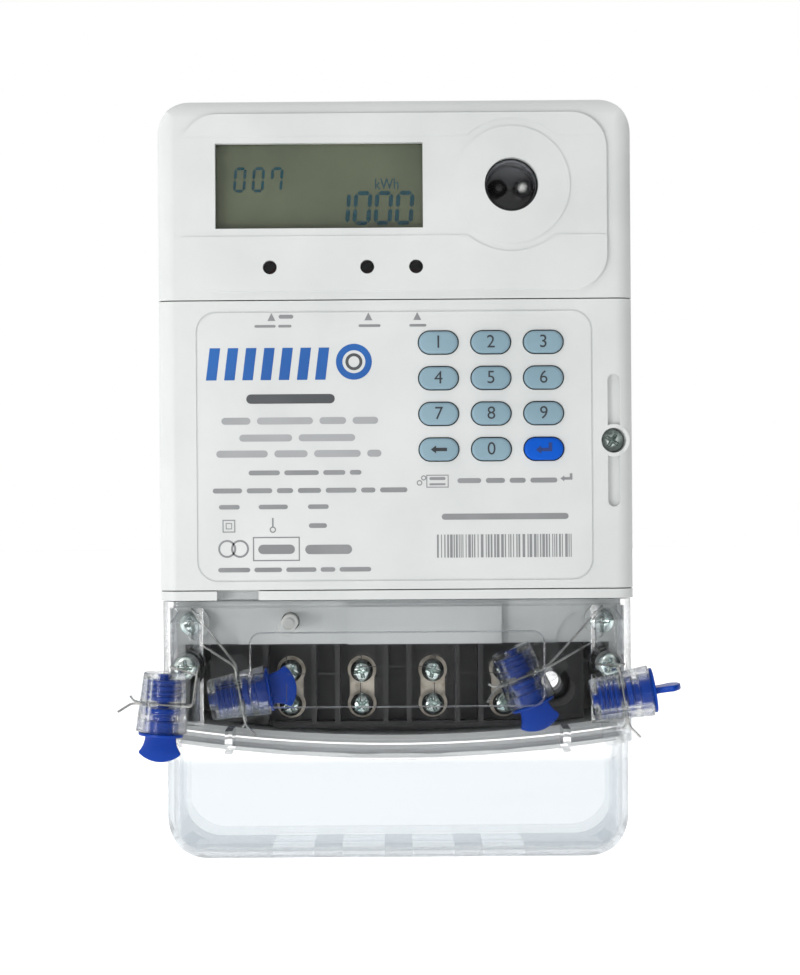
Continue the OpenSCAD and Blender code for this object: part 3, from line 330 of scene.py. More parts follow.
# joins (points, faces) parts into one mesh object, closes its poles, turns faces outwards and lets it ride
# on a body
def addPiece(name, parts, body, slotName, replaced=(), angle=35, material=None):
    allPoints, allFaces, start = [], [], 0
    for points, faces in parts:
        points = np.asarray(points, float).reshape(-1, 3)
        faces = faces.tolist() if hasattr(faces, "tolist") else faces
        allPoints.append(points)
        allFaces += [[i + start for i in face] for face in faces]
        start += len(points)
    mesh = bpy.data.meshes.new(name)
    mesh.from_pydata(np.concatenate(allPoints), [], allFaces)
    work = bmesh.new()
    work.from_mesh(mesh)
    bmesh.ops.remove_doubles(work, verts=work.verts, dist=1e-7)
    bmesh.ops.dissolve_degenerate(work, edges=work.edges, dist=1e-8)
    bmesh.ops.recalc_face_normals(work, faces=work.faces)
    work.to_mesh(mesh)
    work.free()
    mesh.polygons.foreach_set("use_smooth", np.ones(len(mesh.polygons), bool))
    mesh.set_sharp_from_angle(angle=math.radians(angle))
    mesh.materials.append(material or materials[slotName])
    piece = bpy.data.objects.new(name, mesh)
    bpy.context.scene.collection.objects.link(piece)
    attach(piece, body)
    if replaced:
        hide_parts(*replaced)


# a profile of (radius, height) rows turned round the z axis
def revolved(profile, segments=64):
    profile = np.asarray(profile, float)
    angle = np.linspace(0, 2 * np.pi, segments, endpoint=False)
    r, z = profile[:, :1], profile[:, 1:]
    grid = np.stack([r * np.cos(angle), r * np.sin(angle), z + 0 * angle], -1)
    return grid.reshape(-1, 3), gridFaces(len(profile), segments)


# a flat outline in (x, z) given thickness in y: two caps and a wall
def prism(outline, y0, y1):
    outline = np.asarray(outline, float)
    n = len(outline)
    caps = [np.column_stack([outline[:, 0], np.full(n, y), outline[:, 1]]) for y in (y0, y1)]
    wall = [[i, (i + 1) % n, n + (i + 1) % n, n + i] for i in range(n)]
    return np.concatenate(caps), [list(range(n)), list(range(2 * n - 1, n - 1, -1))] + wall


# a bent wire's run: even samples along straight runs, then a sliding mean of one window's length rounds
# the bends
def bentRun(points, step, window):
    p = np.asarray(points, float)
    run = np.concatenate([[0], np.cumsum(np.linalg.norm(np.diff(p, axis=0), axis=1))])
    even = np.linspace(0, run[-1], int(run[-1] / step) + 1)
    rows = np.column_stack([np.interp(even, run, p[:, k]) for k in range(3)])
    half = int(window / step / 2)
    padded = np.concatenate([np.repeat(rows[:1], half, 0), rows, np.repeat(rows[-1:], half, 0)])
    kernel = np.full(2 * half + 1, 1 / (2 * half + 1))
    return np.column_stack([np.convolve(padded[:, k], kernel, "valid") for k in range(3)]), even


# screws: the head's shape as shares of its radius or height
headShape = {"domeDeep": 0.34, "domePower": 3.2, "armHalf": 0.135, "armReach": 0.62, "blur": 0.07,
    "coneR": 0.30, "coneBlur": 0.1, "middleDeep": 0.72, "deepLoss": 0.45, "around": 96, "rows": 40}


# pan-head screw with a cross recess, pointing along +y: polar rows on the head, sunk where they lie in a
# cross arm; under them the rim, the shank and its point, one profile turned round
def crossScrew(x, frontY, z, headR, headH, shankR, length, turn):
    p = headShape
    angle = np.linspace(0, 2 * np.pi, p["around"], endpoint=False)
    s = np.linspace(0, 1, p["rows"])[:, None]
    r = headR * s
    dome = p["domeDeep"] * headH * s ** p["domePower"]
    u, v = np.abs(r * np.cos(angle)), np.abs(r * np.sin(angle))
    arm, reach = p["armHalf"] * headR, p["armReach"] * headR

    def soft(edge, value):
        return np.clip((edge - value) / (p["blur"] * headR) + 0.5, 0, 1)

    inArm = np.maximum(soft(arm, u) * soft(reach, v), soft(arm, v) * soft(reach, u))
    cone = np.clip((p["coneR"] * headR - r) / (p["coneBlur"] * headR), 0, 1)
    deep = headH * (p["middleDeep"] - p["deepLoss"] * np.clip(r / reach, 0, 1))
    top = np.stack([r * np.cos(angle), dome + np.maximum(inArm, cone) * deep, r * np.sin(angle)], -1)
    end = headH + length
    rows = [(headR, p["domeDeep"] * headH), (headR, 0.62 * headH), (headR * 0.985, headH - 0.02 * mm),
        (headR * 0.95, headH), (shankR, headH), (shankR, end - 0.8 * shankR), (0.35 * shankR, end), (0, end)]
    side = np.array([[[a * math.cos(t), b, a * math.sin(t)] for t in angle] for a, b in rows])
    grid = np.concatenate([top, side])
    matrix = Matrix.Translation((x, frontY, z)) @ Matrix.Rotation(math.radians(turn), 4, "Y")
    return moved(grid.reshape(-1, 3), matrix), gridFaces(len(grid), p["around"])


# columns and rows of a group of heads from the group's box
def headPlaces(node, headR, columns, rows):
    low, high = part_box(node)
    xs = np.linspace(low.x + headR, high.x - headR, columns)
    zs = np.linspace(low.z + headR, high.z - headR, rows) if rows > 1 else [(low.z + high.z) / 2]
    return [(x, z) for x in xs for z in zs], low.y, high.y


# in millimetres, with the number of columns and rows in the group
screwSets = {
    "terminal_screws": {"body": "case", "headR": 3.1, "headH": 3.4, "shankR": 2.4, "columns": 4, "rows": 2},
    "main_cover_screws": {"body": "case", "headR": 3.2, "headH": 2.6, "shankR": 2.0, "columns": 2, "rows": 1},
    "terminal_cover_screws": {"body": "terminal_cover", "headR": 3.0, "headH": 3.0, "shankR": 2.0,
        "columns": 2, "rows": 1},
    "door_screw": {"body": "door", "headR": 2.95, "headH": 2.4, "shankR": 1.5, "columns": 1, "rows": 1},
    "board_screws": {"body": "case", "headR": 2.4, "headH": 1.8, "shankR": 1.1, "columns": 2, "rows": 2},
}
screwTurns = {"seed": 7, "most": 40, "count": 40}   # degrees either way: no two slots stand alike
turns = np.random.default_rng(screwTurns["seed"]).uniform(-screwTurns["most"], screwTurns["most"],
    screwTurns["count"]).tolist()
for node, setup in screwSets.items():
    headR, headH, shankR = (setup[key] * mm for key in ("headR", "headH", "shankR"))
    places, front, back = headPlaces(node, headR, setup["columns"], setup["rows"])
    length = back - front - headH
    parts = [crossScrew(x, front, z, headR, headH, shankR, length, turns.pop()) for x, z in places]
    addPiece(node + "_detailed", parts, setup["body"], "zinc_screws", [node], angle=50)
print("screws made")

# keys, in millimetres; the scales are shares of the glyph height
keySetup = {"edgeRound": 0.75, "crown": 0.12, "crownPower": 0.8, "around": 96, "glyphHeight": 3.7,
    "digitScale": 1.28, "arrowScale": 0.95, "enterDrop": 0.06, "inkSink": 0.03, "inkThick": 0.05}


# a stadium outline at each row: half circles of shrinking radius about two fixed centres, set back by the
# row's depth; the edge is a quarter circle and the face a shallow crown
def keyCap(node):
    low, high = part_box(node)
    w, h = high.x - low.x, high.z - low.z
    radius, straight = h / 2, (w - h) / 2
    count = keySetup["around"]
    angle = np.linspace(0, 2 * np.pi, count, endpoint=False) + np.pi / count
    roundR, crown = keySetup["edgeRound"] * mm, keySetup["crown"] * mm
    bend = np.linspace(0, np.pi / 2, 9)[1:]
    flat = np.linspace(roundR, radius, 10)[1:]
    inset = np.concatenate([[radius, 0, 0], roundR * (1 - np.cos(bend)), flat])
    dish = ((flat - roundR) / (radius - roundR)) ** keySetup["crownPower"]
    depth = np.concatenate([[high.y, high.y, low.y + roundR + crown],
        low.y + crown + roundR * (1 - np.sin(bend)), low.y + crown * (1 - dish)])
    r = radius - inset[:, None]
    x = (low.x + high.x) / 2 + np.sign(np.cos(angle)) * straight + r * np.cos(angle)
    z = (low.z + high.z) / 2 + r * np.sin(angle)
    grid = np.stack([x, depth[:, None] + 0 * angle, z], -1)
    return grid.reshape(-1, 3), gridFaces(len(inset), count)


# text as a thin mesh, centred on a point of a face that looks along -y
def textParts(words, size, x, y, z, thick, squeeze=1.0):
    curve = bpy.data.curves.new("words", "FONT")
    curve.body = words
    curve.size = size
    curve.align_x = curve.align_y = "CENTER"
    curve.extrude = thick / 2
    curve.resolution_u = 4
    holder = bpy.data.objects.new("words", curve)
    bpy.context.scene.collection.objects.link(holder)
    bpy.context.view_layer.update()
    mesh = bpy.data.meshes.new_from_object(holder)
    points = np.zeros(len(mesh.vertices) * 3)
    mesh.vertices.foreach_get("co", points)
    points = points.reshape(-1, 3)
    faces = [list(p.vertices) for p in mesh.polygons]
    bpy.data.objects.remove(holder)
    bpy.data.meshes.remove(mesh)
    bpy.data.curves.remove(curve)
    return np.column_stack([x + points[:, 0] * squeeze, y - points[:, 2], z + points[:, 1]]), faces


# ink film: pad-printed or silk-screened, a little uneven in tone and slightly satin
def printedInk(name, light, dark, rough=0.45):
    return mouldedPlastic(name, light, dark, rough, 0.15, 0.05)


inks = {
    "keyBlack": printedInk("inkPadPrintedBlack", "#20262B", "#2B3237"),
    "enterNavy": printedInk("inkPadPrintedNavy", "#0A2A66", "#0E3378"),
    "labelGrey": printedInk("inkScreenPrintedGrey", "#7C7E80", "#8C8E90"),
    "labelPale": printedInk("inkScreenPrintedPale", "#96989A", "#A3A5A7"),
    "labelDark": printedInk("inkScreenPrintedDark", "#3E4144", "#4B4E51"),
    "markBlue": printedInk("inkScreenPrintedBlue", "#055CA8", "#064F99"),
    "segmentTeal": printedInk("liquidCrystalSegmentTeal", "#123A44", "#1B4650", 0.3),
    "coverBlack": printedInk("inkHotStampedBlack", "#2A2A2C", "#38383A"),
}

# an arrow's outline as shares of its size
arrowShape = {"tip": 0.62, "barb": 0.22, "barbHalf": 0.30, "stemFrom": 0.24, "stemTo": 0.6, "half": 0.13,
    "hookHigh": 0.52, "inkThick": 0.05}


# an arrow that points left, with a stem; bent upwards at its tail if hook is set
def arrowParts(x, y, z, size, hook):
    p = arrowShape
    tail, half = p["stemTo"], p["half"]
    head = [(-p["tip"], 0), (-p["barb"], p["barbHalf"]), (-p["barb"], -p["barbHalf"])]
    stem = [(-p["stemFrom"], -half), (tail, -half), (tail, half), (-p["stemFrom"], half)]
    shapes = [head, stem]
    if hook:
        shapes.append([(tail - 2 * half, half), (tail, half), (tail, p["hookHigh"]),
            (tail - 2 * half, p["hookHigh"])])
    thick = p["inkThick"] * mm
    return [prism([(x + a * size, z + b * size) for a, b in shape], y, y - thick) for shape in shapes]


size = keySetup["glyphHeight"] * mm
inkThick = keySetup["inkThick"] * mm
for node in [n for n in nodes if n.startswith("key_")]:
    low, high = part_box(node)
    isEnter = node == "key_enter"
    slotName = "key_blue" if isEnter else "key_grey"
    addPiece(node + "_cap", [keyCap(node)], node, slotName, [node], angle=60)
    cx, cz = (low.x + high.x) / 2, (low.z + high.z) / 2
    face = low.y + keySetup["inkSink"] * mm
    if node in ("key_back", "key_enter"):
        drop = keySetup["enterDrop"] * size if isEnter else 0
        parts = arrowParts(cx, face, cz - drop, size * keySetup["arrowScale"], isEnter)
    else:
        digitFace = face - 0.01 * mm
        parts = [textParts(node[4:], size * keySetup["digitScale"], cx, digitFace, cz, inkThick)]
    addPiece(node + "_print", parts, node, slotName, material=inks["enterNavy" if isEnter else "keyBlack"])
print("keys made")

# seals, in millimetres along and out from the seal's axis
sealSetup = {"bodyR": 6.7, "bodyLen": 15.5, "shaftR": 1.6, "coreR": 4.45, "coreFrom": 2.0, "waistR": 1.7,
    "ribs": 4, "ribDeep": 0.85, "wingHalf": 0.8, "wingRound": 0.35, "wingTurn": {"outer_right": 90}}
wireSetup = {"radius": 0.325, "lay": 2.4, "lobes": 3, "lobeDeep": 0.13, "step": 0.22, "bendWindow": 2.2,
    "atZ": 8.3, "halfY": 2.8, "past": 1.2, "tailIn": (3.5, -2, 2.5), "tailOut": (1.2, 1, -1.5),
    "outerHole": 3.7, "outerBend": (0, -5, 0.4), "crossBend": (0, -7.4, -1.6), "innerHole": 4,
    "innerBend": (0, -2, 0), "innerHoleY": -49.95, "innerHeadR": 3.2}


# a flat outline in (x, z) given thickness in y, its rims rounded: rows shrink by r*(1-sin t) while y moves
# by r*(1-cos t)
def pillow(outline, y0, y1, roundR, steps=5):
    outline = np.asarray(outline, float)
    n = len(outline)
    ahead = np.roll(outline, -1, 0)
    along = ahead - np.roll(outline, 1, 0)
    length = np.maximum(np.linalg.norm(along, axis=1), 1e-12)
    normal = np.column_stack([along[:, 1], -along[:, 0]]) / length[:, None]
    area = np.sum(outline[:, 0] * ahead[:, 1] - outline[:, 1] * ahead[:, 0])
    normal *= 1 if area > 0 else -1
    t = np.linspace(0, np.pi / 2, steps)
    inset = np.concatenate([roundR * (1 - np.sin(t)), roundR * (1 - np.sin(t[::-1]))])
    depth = np.concatenate([y0 + roundR * (1 - np.cos(t)), y1 - roundR * (1 - np.cos(t[::-1]))])
    flat = outline - normal * inset[:, None, None]
    rows = np.stack([flat[..., 0], depth[:, None] + np.zeros(n), flat[..., 1]], -1)
    last = (len(inset) - 1) * n
    caps = [list(range(n)), list(range(last + n - 1, last - 1, -1))]
    return rows.reshape(-1, 3), gridFaces(len(inset), n).tolist() + caps


# a tube along a path: rings across the tangent, their radius lobed and turned with the arc length so that
# it looks stranded
def strandedTube(points, segments=18):
    p = wireSetup
    path, run = bentRun(points, p["step"] * mm, p["bendWindow"] * mm)
    tangent = np.gradient(path, axis=0)
    tangent /= np.linalg.norm(tangent, axis=1)[:, None]
    side = np.zeros_like(path)
    last = np.cross(tangent[0], (0.31, 0.22, 0.93))   # any direction that no wire runs along
    for i, t in enumerate(tangent):
        last = last - t * np.dot(last, t)
        last = last / np.linalg.norm(last)
        side[i] = last
    other = np.cross(tangent, side)
    angle = np.linspace(0, 2 * np.pi, segments, endpoint=False)
    turn = angle + 2 * np.pi * run[:, None] / (p["lay"] * mm)
    lobe = 1 - p["lobeDeep"] + p["lobeDeep"] * np.abs(np.cos(p["lobes"] * angle / 2))
    r = p["radius"] * mm * lobe * np.ones_like(turn)
    grid = (path[:, None] + (r * np.cos(turn))[..., None] * side[:, None]
        + (r * np.sin(turn))[..., None] * other[:, None])
    lastRow = (len(path) - 1) * segments
    caps = [list(range(segments)), list(range(lastRow + segments - 1, lastRow - 1, -1))]
    return grid.reshape(-1, 3), gridFaces(len(path), segments).tolist() + caps


# the seal's own frame: z along its axis, y along the depth
def sealMatrix(name):
    joint = joints["seal_" + name + "_twist"]
    ax = Vector(joint["axis"])
    at = Vector(joint["pos_m"])
    return Matrix(((ax.z, 0, ax.x, at.x), (0, 1, 0, at.y), (-ax.x, 0, ax.z, at.z), (0, 0, 0, 1)))


# the core: shaft end, discs of a coarse rack, waist for the wire, snap neck and end disc, one profile
# turned round the axis
def rotorProfile():
    p = sealSetup
    shaft, core, root = p["shaftR"], p["coreR"], p["coreR"] - p["ribDeep"]
    neck, rim, end = core - 0.9, p["bodyR"] - 0.8, p["bodyLen"]
    low, top = p["coreFrom"], wireSetup["atZ"] - 1.0
    rows = [(0, 0.3), (shaft - 0.15, 0.3), (shaft, 0.45), (shaft, low)]
    pitch = (top - low) / p["ribs"]
    tooth = [(root, 0), (core - 0.12, 0.1), (core, 0.2), (core, 0.45), (core - 0.12, 0.55), (root, 0.62)]
    for i in range(p["ribs"]):
        rows += [(r, low + (i + share) * pitch) for r, share in tooth]
    rows += [(root, top), (p["waistR"], top + 0.1), (p["waistR"], top + 1.9), (core - 0.1, top + 2.0),
        (core, top + 2.15), (core, end - 4.9), (neck, end - 4.6), (neck, end - 2.8), (core, end - 2.6),
        (core, end + 0.35), (rim - 0.2, end + 0.35), (rim, end + 0.5), (rim, end + 0.95),
        (rim - 0.15, end + 1.1), (0, end + 1.1)]
    return np.array(rows) * mm


# the fan-shaped wing: two flared sides and an outer edge that is an arc, a little flattened
def wingOutline():
    z0 = sealSetup["bodyLen"] + 0.95
    side = np.array([(4.0, 0.0), (4.06, 0.9), (4.2, 1.8), (4.5, 2.8), (4.95, 3.7), (5.45, 4.4)])
    radius, top, flatten, halfWide = 7.35, 7.05, 0.88, 5.6
    t = np.linspace(0.88, -0.88, 41)
    arc = np.column_stack([radius * np.sin(t), top - radius * (1 - np.cos(t)) * flatten])
    arc = arc[np.abs(arc[:, 0]) < halfWide]
    outline = np.concatenate([side, arc, side[::-1] * (-1, 1)])
    return (outline + (0, z0)) * mm


# the wire's corners: two straight runs through the body and a loop through the cross hole of the screw head
def wirePath(name, matrix):
    p = wireSetup
    reach, wy, wz = sealSetup["bodyR"] + p["past"], p["halfY"], p["atZ"]
    ends = [(reach, -wy, wz), (-reach, -wy, wz), (-reach, wy, wz), (reach, wy, wz)]
    local = [np.add(ends[0], p["tailIn"]), *ends, np.add(ends[3], p["tailOut"])]
    tailA, outA, inA, inB, outB, tailB = moved(np.array(local) * mm, matrix)
    if name.startswith("outer"):
        centre = np.array(joints["seal_" + name + "_swing"]["pos_m"])
        side = p["outerHole"] if name == "outer_left" else -p["outerHole"]
        holes = [centre + np.array((s, 0, 0)) * mm for s in (side, -side)]
        bends = [[hole + np.array(p["outerBend"]) * mm] for hole in holes]
        if name == "outer_left":
            bends[1].append(holes[0] + np.array(p["crossBend"]) * mm)
    else:
        low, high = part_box("main_cover_screws")
        headR = p["innerHeadR"] * mm
        x = low.x + headR if name.endswith("left") else high.x - headR
        centre = np.array((x, p["innerHoleY"] * mm, (low.z + high.z) / 2))
        holes = [centre + np.array((0, 0, s)) * mm for s in (-p["innerHole"], p["innerHole"])]
        bends = [[hole + np.array(p["innerBend"]) * mm] for hole in holes]
    return [tailA, outA, inA, *bends[0], *holes, *bends[1], inB, outB, tailB]


for name in ("outer_left", "outer_right", "inner_left", "inner_right"):
    matrix = sealMatrix(name)
    wingTurn = math.radians(sealSetup["wingTurn"].get(name, 0))
    turned = matrix @ Matrix.Rotation(wingTurn, 4, "Z")
    half = sealSetup["wingHalf"] * mm
    core = revolved(rotorProfile(), 72)
    wing = pillow(wingOutline(), -half, half, sealSetup["wingRound"] * mm)
    parts = [(moved(points, turned), faces) for points, faces in (core, wing)]
    addPiece("seal_rotor_" + name + "_ribbed", parts, "rotor_" + name, "seal_blue", ["seal_rotor_" + name],
        angle=40)
    wireBody = "seal_" + name if name.startswith("outer") else "case"
    addPiece("seal_wire_" + name + "_stranded", [strandedTube(wirePath(name, matrix))], wireBody, "seal_wire",
        ["seal_wire_" + name], angle=60)
print("seals made")

# optical port, in millimetres: a dark and a clear element side by side in a smoky shroud; the shroud's painted
# reflection grows between two heights over the port's centre
portSetup = {"domeR": 2.45, "flangeR": 2.75, "flangeThick": 0.8, "pair": 6.5, "lampBackY": -55.8,
    "lampTipY": -61.95, "shroudBackY": -54, "carrierHalf": 4.5, "carrierFrontY": -54.1, "dishBackY": -60.0,
    "reflectionFrom": -2, "reflectionTo": 7, "hazeMm": 1.5}
low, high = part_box("optical_pair")
portX, portZ = (low.x + high.x) / 2, (low.z + high.z) / 2


# an epoxy-cast element: straight barrel with a flange, closed by a half sphere towards the front
def lampBody(x):
    r, flangeR, flange = portSetup["domeR"] * mm, portSetup["flangeR"] * mm, portSetup["flangeThick"] * mm
    backY, tipY = portSetup["lampBackY"] * mm, portSetup["lampTipY"] * mm
    bend = np.linspace(0, np.pi / 2, 14)
    rows = [(0, 0), (flangeR, 0), (flangeR, flange), (r, flange + 0.05 * mm)]
    barrel = abs(tipY - backY) - r
    rows += [(r * math.cos(t), barrel + r * math.sin(t)) for t in bend]
    points, faces = revolved(rows, 64)
    return facingFront(points, x, backY, portZ), faces


# the shroud: a flat floor and a round wall with a softened rim, one profile turned round
shroud = [(0, 1.9), (6.0, 1.9), (6.2, 2.1), (6.2, 11.0), (6.45, 11.25), (6.8, 11.25), (7.0, 11.0), (7.0, 0.0),
    (0, 0)]
points, faces = revolved(np.array(shroud) * mm, 96)
cup = (facingFront(points, portX, portSetup["shroudBackY"] * mm, portZ), faces)
pairHalf = portSetup["pair"] / 2 * mm
carrierHalf = portSetup["carrierHalf"] * mm
carrier = prism([(low.x, portZ - carrierHalf), (high.x, portZ - carrierHalf), (high.x, portZ + carrierHalf),
    (low.x, portZ + carrierHalf)], high.y, portSetup["carrierFrontY"] * mm)

# smoky polycarbonate: near black below, with a painted reflection that turns it grey towards the top, mottled by a
# little noise, faintly glossy
smoke, smokeTree, smokeBsdf, smokeAt = newMaterial("polycarbonateSmokePaintedReflection",
    {"Roughness": 0.22, "Coat Weight": 0.6})
axes = addNode(smokeTree, "ShaderNodeSeparateXYZ", links={0: smokeAt})
# painted reflection: the shroud turns grey with height over the port, standing in for the window's reflection
paintedReflection = addNode(smokeTree, "ShaderNodeMapRange",
    values={"From Min": portZ + portSetup["reflectionFrom"] * mm, "From Max": portZ + portSetup["reflectionTo"] * mm},
    links={"Value": axes.outputs["Z"]})
reflectionMottle = addNode(smokeTree, "ShaderNodeTexNoise",
    values={"Scale": 1 / (portSetup["hazeMm"] * mm), "Detail": 3.0}, links={"Vector": smokeAt})
mixed = addNode(smokeTree, "ShaderNodeMath", {"operation": "MULTIPLY_ADD"}, {1: 0.12},
    {0: reflectionMottle.outputs["Fac"], 2: paintedReflection.outputs[0]})
smokeAndReflectionTone = addNode(smokeTree, "ShaderNodeValToRGB", links={"Fac": mixed.outputs[0]})
# near black is the smoke's own colour; the greys above it are painted reflection
fillRamp(smokeAndReflectionTone, [(0.15, hexColor("#151518")), (0.65, hexColor("#55575C")), (1.0, hexColor("#8A8D92"))])
smokeTree.links.new(smokeAndReflectionTone.outputs["Color"], smokeBsdf.inputs["Base Color"])

addPiece("optical_pair_carrier", [lampBody(portX - pairHalf), carrier], "case", "sensor_black",
    ["optical_pair"], angle=40)
addPiece("optical_pair_shroud", [cup], "case", "sensor_black", angle=40, material=smoke)
emitter = clearPlastic("epoxyCastClear", "#F4F8FA", "#A9B2B8", 0.03, 1.54, 2.0, 0.15, 0.45, 0.95)
addPiece("optical_emitter_dome", [lampBody(portX + pairHalf)], "case", "window_clear", angle=40,
    material=emitter)
# the chip's bright cup inside the clear element: a shallow dish with a raised rim, silver plated
dish = [(0, 0.25), (0.55, 0.25), (0.85, 0.75), (1.25, 0.95), (1.35, 0.85), (1.35, 0.0), (0, 0)]
points, faces = revolved(np.array(dish) * mm, 48)
silver = platedMetal("silverPlatedLeadFrame", "#F1F1EE", "#D5D5D0", 0.30, 0.2)
dishPoints = facingFront(points, portX + pairHalf, portSetup["dishBackY"] * mm, portZ)
addPiece("optical_emitter_cup", [(dishPoints, faces)], "case", "sensor_black", angle=40, material=silver)
print("port made")

# display, in millimetres
# seven segments a to g, each a hexagon between two corners of a 1 by 2 frame, slanted by x = x + slant z
segmentEnds = {"a": ((0, 2), (1, 2)), "b": ((1, 1), (1, 2)), "c": ((1, 0), (1, 1)), "d": ((0, 0), (1, 0)),
    "e": ((0, 0), (0, 1)), "f": ((0, 1), (0, 2)), "g": ((0, 1), (1, 1))}
segmentsOf = {"0": "abcdef", "1": "bc", "7": "abcf"}
displaySetup = {"slant": 0.08, "gap": 0.16, "lift": 0.02, "inkThick": 0.03}
displayLines = [
    {"text": "007", "x": -42.4, "z": 77.0, "width": 2.5, "height": 5.9, "pitch": 4.9, "stroke": 0.78},
    {"text": "1000", "x": -16.2, "z": 68.3, "width": 3.7, "height": 7.9, "pitch": 5.6, "stroke": 1.1},
]
unitSetup = {"text": "kWh", "size": 4.1, "x": -1.9, "z": 78.5, "squeeze": 0.8}


def sevenSegments(line, y):
    x, z, width, height, pitch, stroke = (line[key] * mm for key in ("x", "z", "width", "height", "pitch",
        "stroke"))
    thick = displaySetup["inkThick"] * mm
    parts = []
    for i, char in enumerate(line["text"]):
        for key in segmentsOf[char]:
            (x0, z0), (x1, z1) = segmentEnds[key]
            a = np.array((x0 * width, z0 * height / 2))
            b = np.array((x1 * width, z1 * height / 2))
            u = (b - a) / np.linalg.norm(b - a)
            n = np.array((-u[1], u[0])) * stroke / 2
            gap, point = u * displaySetup["gap"] * stroke, u * stroke / 2
            a, b = a + gap, b - gap
            shape = np.array([a, a + point + n, b - point + n, b, b - point - n, a + point - n])
            shape = shape + (x + i * pitch, z)
            shape[:, 0] += displaySetup["slant"] * (shape[:, 1] - z)
            parts.append(prism(shape, y, y - thick))
    return parts


glassLow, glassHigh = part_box("lcd_glass")
segmentY = glassLow.y - displaySetup["lift"] * mm
parts = []
for line in displayLines:
    parts += sevenSegments(line, segmentY)
p = unitSetup
parts.append(textParts(p["text"], p["size"] * mm, p["x"] * mm, segmentY, p["z"] * mm,
    displaySetup["inkThick"] * mm, p["squeeze"]))
addPiece("display_segments", parts, "case", "lcd_panel", material=inks["segmentTeal"])
print("display made")

# nameplate print
# bars of word length stand in for every line of lettering; a seed keeps each line's rhythm
# every place and size here is in millimetres on the nameplate's face
plateSetup = {"y": -69.0, "inkThick": 0.04}


def inkPrism(outline, y=plateSetup["y"]):
    return prism(np.asarray(outline) * mm, y * mm, (y - plateSetup["inkThick"]) * mm)


def bar(x0, x1, z0, z1, y=plateSetup["y"]):
    return inkPrism([(x0, z0), (x1, z0), (x1, z1), (x0, z1)], y)


# a rectangle drawn with four bars of one width
def boxOutline(x0, x1, z0, z1, w):
    return [bar(x0, x1, z0, z0 + w), bar(x0, x1, z1 - w, z1), bar(x0, x0 + w, z0 + w, z1 - w),
        bar(x1 - w, x1, z0 + w, z1 - w)]


# word bars as shares of the line's height; a rest shorter than leastRest joins the last bar
wordShape = {"shortest": 1.5, "longest": 4.5, "gap": 0.5, "leastRest": 1.4, "endR": 0.27}


# one line of words: flat bars with rounded ends, of random lengths; without a seed it is one bar
def wordBars(x0, x1, zc, height, seed=None):
    w = wordShape
    rng = np.random.default_rng(seed)
    parts, x, r = [], x0, w["endR"] * height
    t = np.radians(np.arange(-90, 91, 22.5))
    while x < x1 - height:
        length = x1 - x
        if seed is not None:
            length = min(height * rng.uniform(w["shortest"], w["longest"]), length)
        if x1 - (x + length) < w["leastRest"] * height:
            length = x1 - x
        right = np.column_stack([x + length - r + r * np.cos(t), zc + r * np.sin(t)])
        left = np.column_stack([x + r - r * np.cos(t), zc - r * np.sin(t)])
        parts.append(inkPrism(np.concatenate([right, left])))
        x += length + w["gap"] * height
    return parts


# a flat ring: the four corners of its section turned round its centre
def ring(x, z, outer, inner, around=48):
    turn = np.linspace(0, 2 * np.pi, around, endpoint=False)
    y = plateSetup["y"]
    face = y - plateSetup["inkThick"]
    corners = [(outer, y), (outer, face), (inner, face), (inner, y)]
    rows = [np.column_stack([x + r * np.cos(turn), np.full(around, d), z + r * np.sin(turn)])
        for r, d in corners]
    return np.concatenate(rows) * mm, gridFaces(4, around, True)


# rows are (left, right, height of the centre line, letter height, seed)
paleLines = [
    (-46.0, -4.6, 15.8, 3.41, 12), (-41.3, -10.7, 11.3, 3.41, 13), (-47.4, -3.8, 7.1, 3.41, 14),
]
greyLines = [
    (-37.1, -27.3, 40.8, 1.3, 4), (-9.6, -3.8, 40.8, 1.3, 5), (3.8, 8.3, 40.8, 1.3, 6),
    (-38.9, -9.1, 2.1, 2.31, 15), (-48.4, 3.0, -2.6, 2.42, 16), (-46.8, -41.3, -6.9, 2.2, 17),
    (-36.3, -28.6, -6.9, 2.2, 18), (-23.3, -17.8, -6.9, 2.2, 19), (-23.1, -18.3, -11.9, 2.31, 20),
    (-47.1, -6.7, -23.5, 2.2, 21), (16.2, 42.6, -0.3, 2.42, 22),
]
# plain bars: (left, right, centre line, height)
greyBars = [
    (-30.7, -26.8, 43.3, 1.9), (-36.5, -26.8, -18.1, 4.6), (-24.1, -11.7, -18.2, 4.6),
    (12.0, 45.5, -9.8, 2.97), (8.8, 13.1, 0.3, 1.5), (8.8, 13.1, -1.2, 1.0),
]
# the pointers under the lamps: where they stand, half their width, foot and tip
pointers = {"x": (-32.6, -7.0, 5.9), "half": 1.06, "foot": 42.2, "tip": 44.3}
# rings: (x, z, outer radius, inner radius); frames: (left, right, low, high, line width)
greyRings = [(-32.6, -12.9, 0.84, 0.53), (-44.7, -17.9, 2.37, 1.85), (-41.3, -17.9, 2.37, 1.85),
    (6.2, -0.8, 0.74, 0.45), (7.3, 0.5, 0.69, 0.4)]
greyFrames = [(-37.9, -25.5, -21.2, -14.8, 0.32), (8.0, 13.9, -2.1, 1.3, 0.26)]
doubleSquare = {"x": -44.2, "z": -11.9, "rims": ((1.69, 0.29), (0.84, 0.24))}   # (half side, line width)
leverStem = (-32.8, -32.4, -12.1, -9.8)
enterSign = {"x": 45.0, "z": 0.1, "size": 2.6}
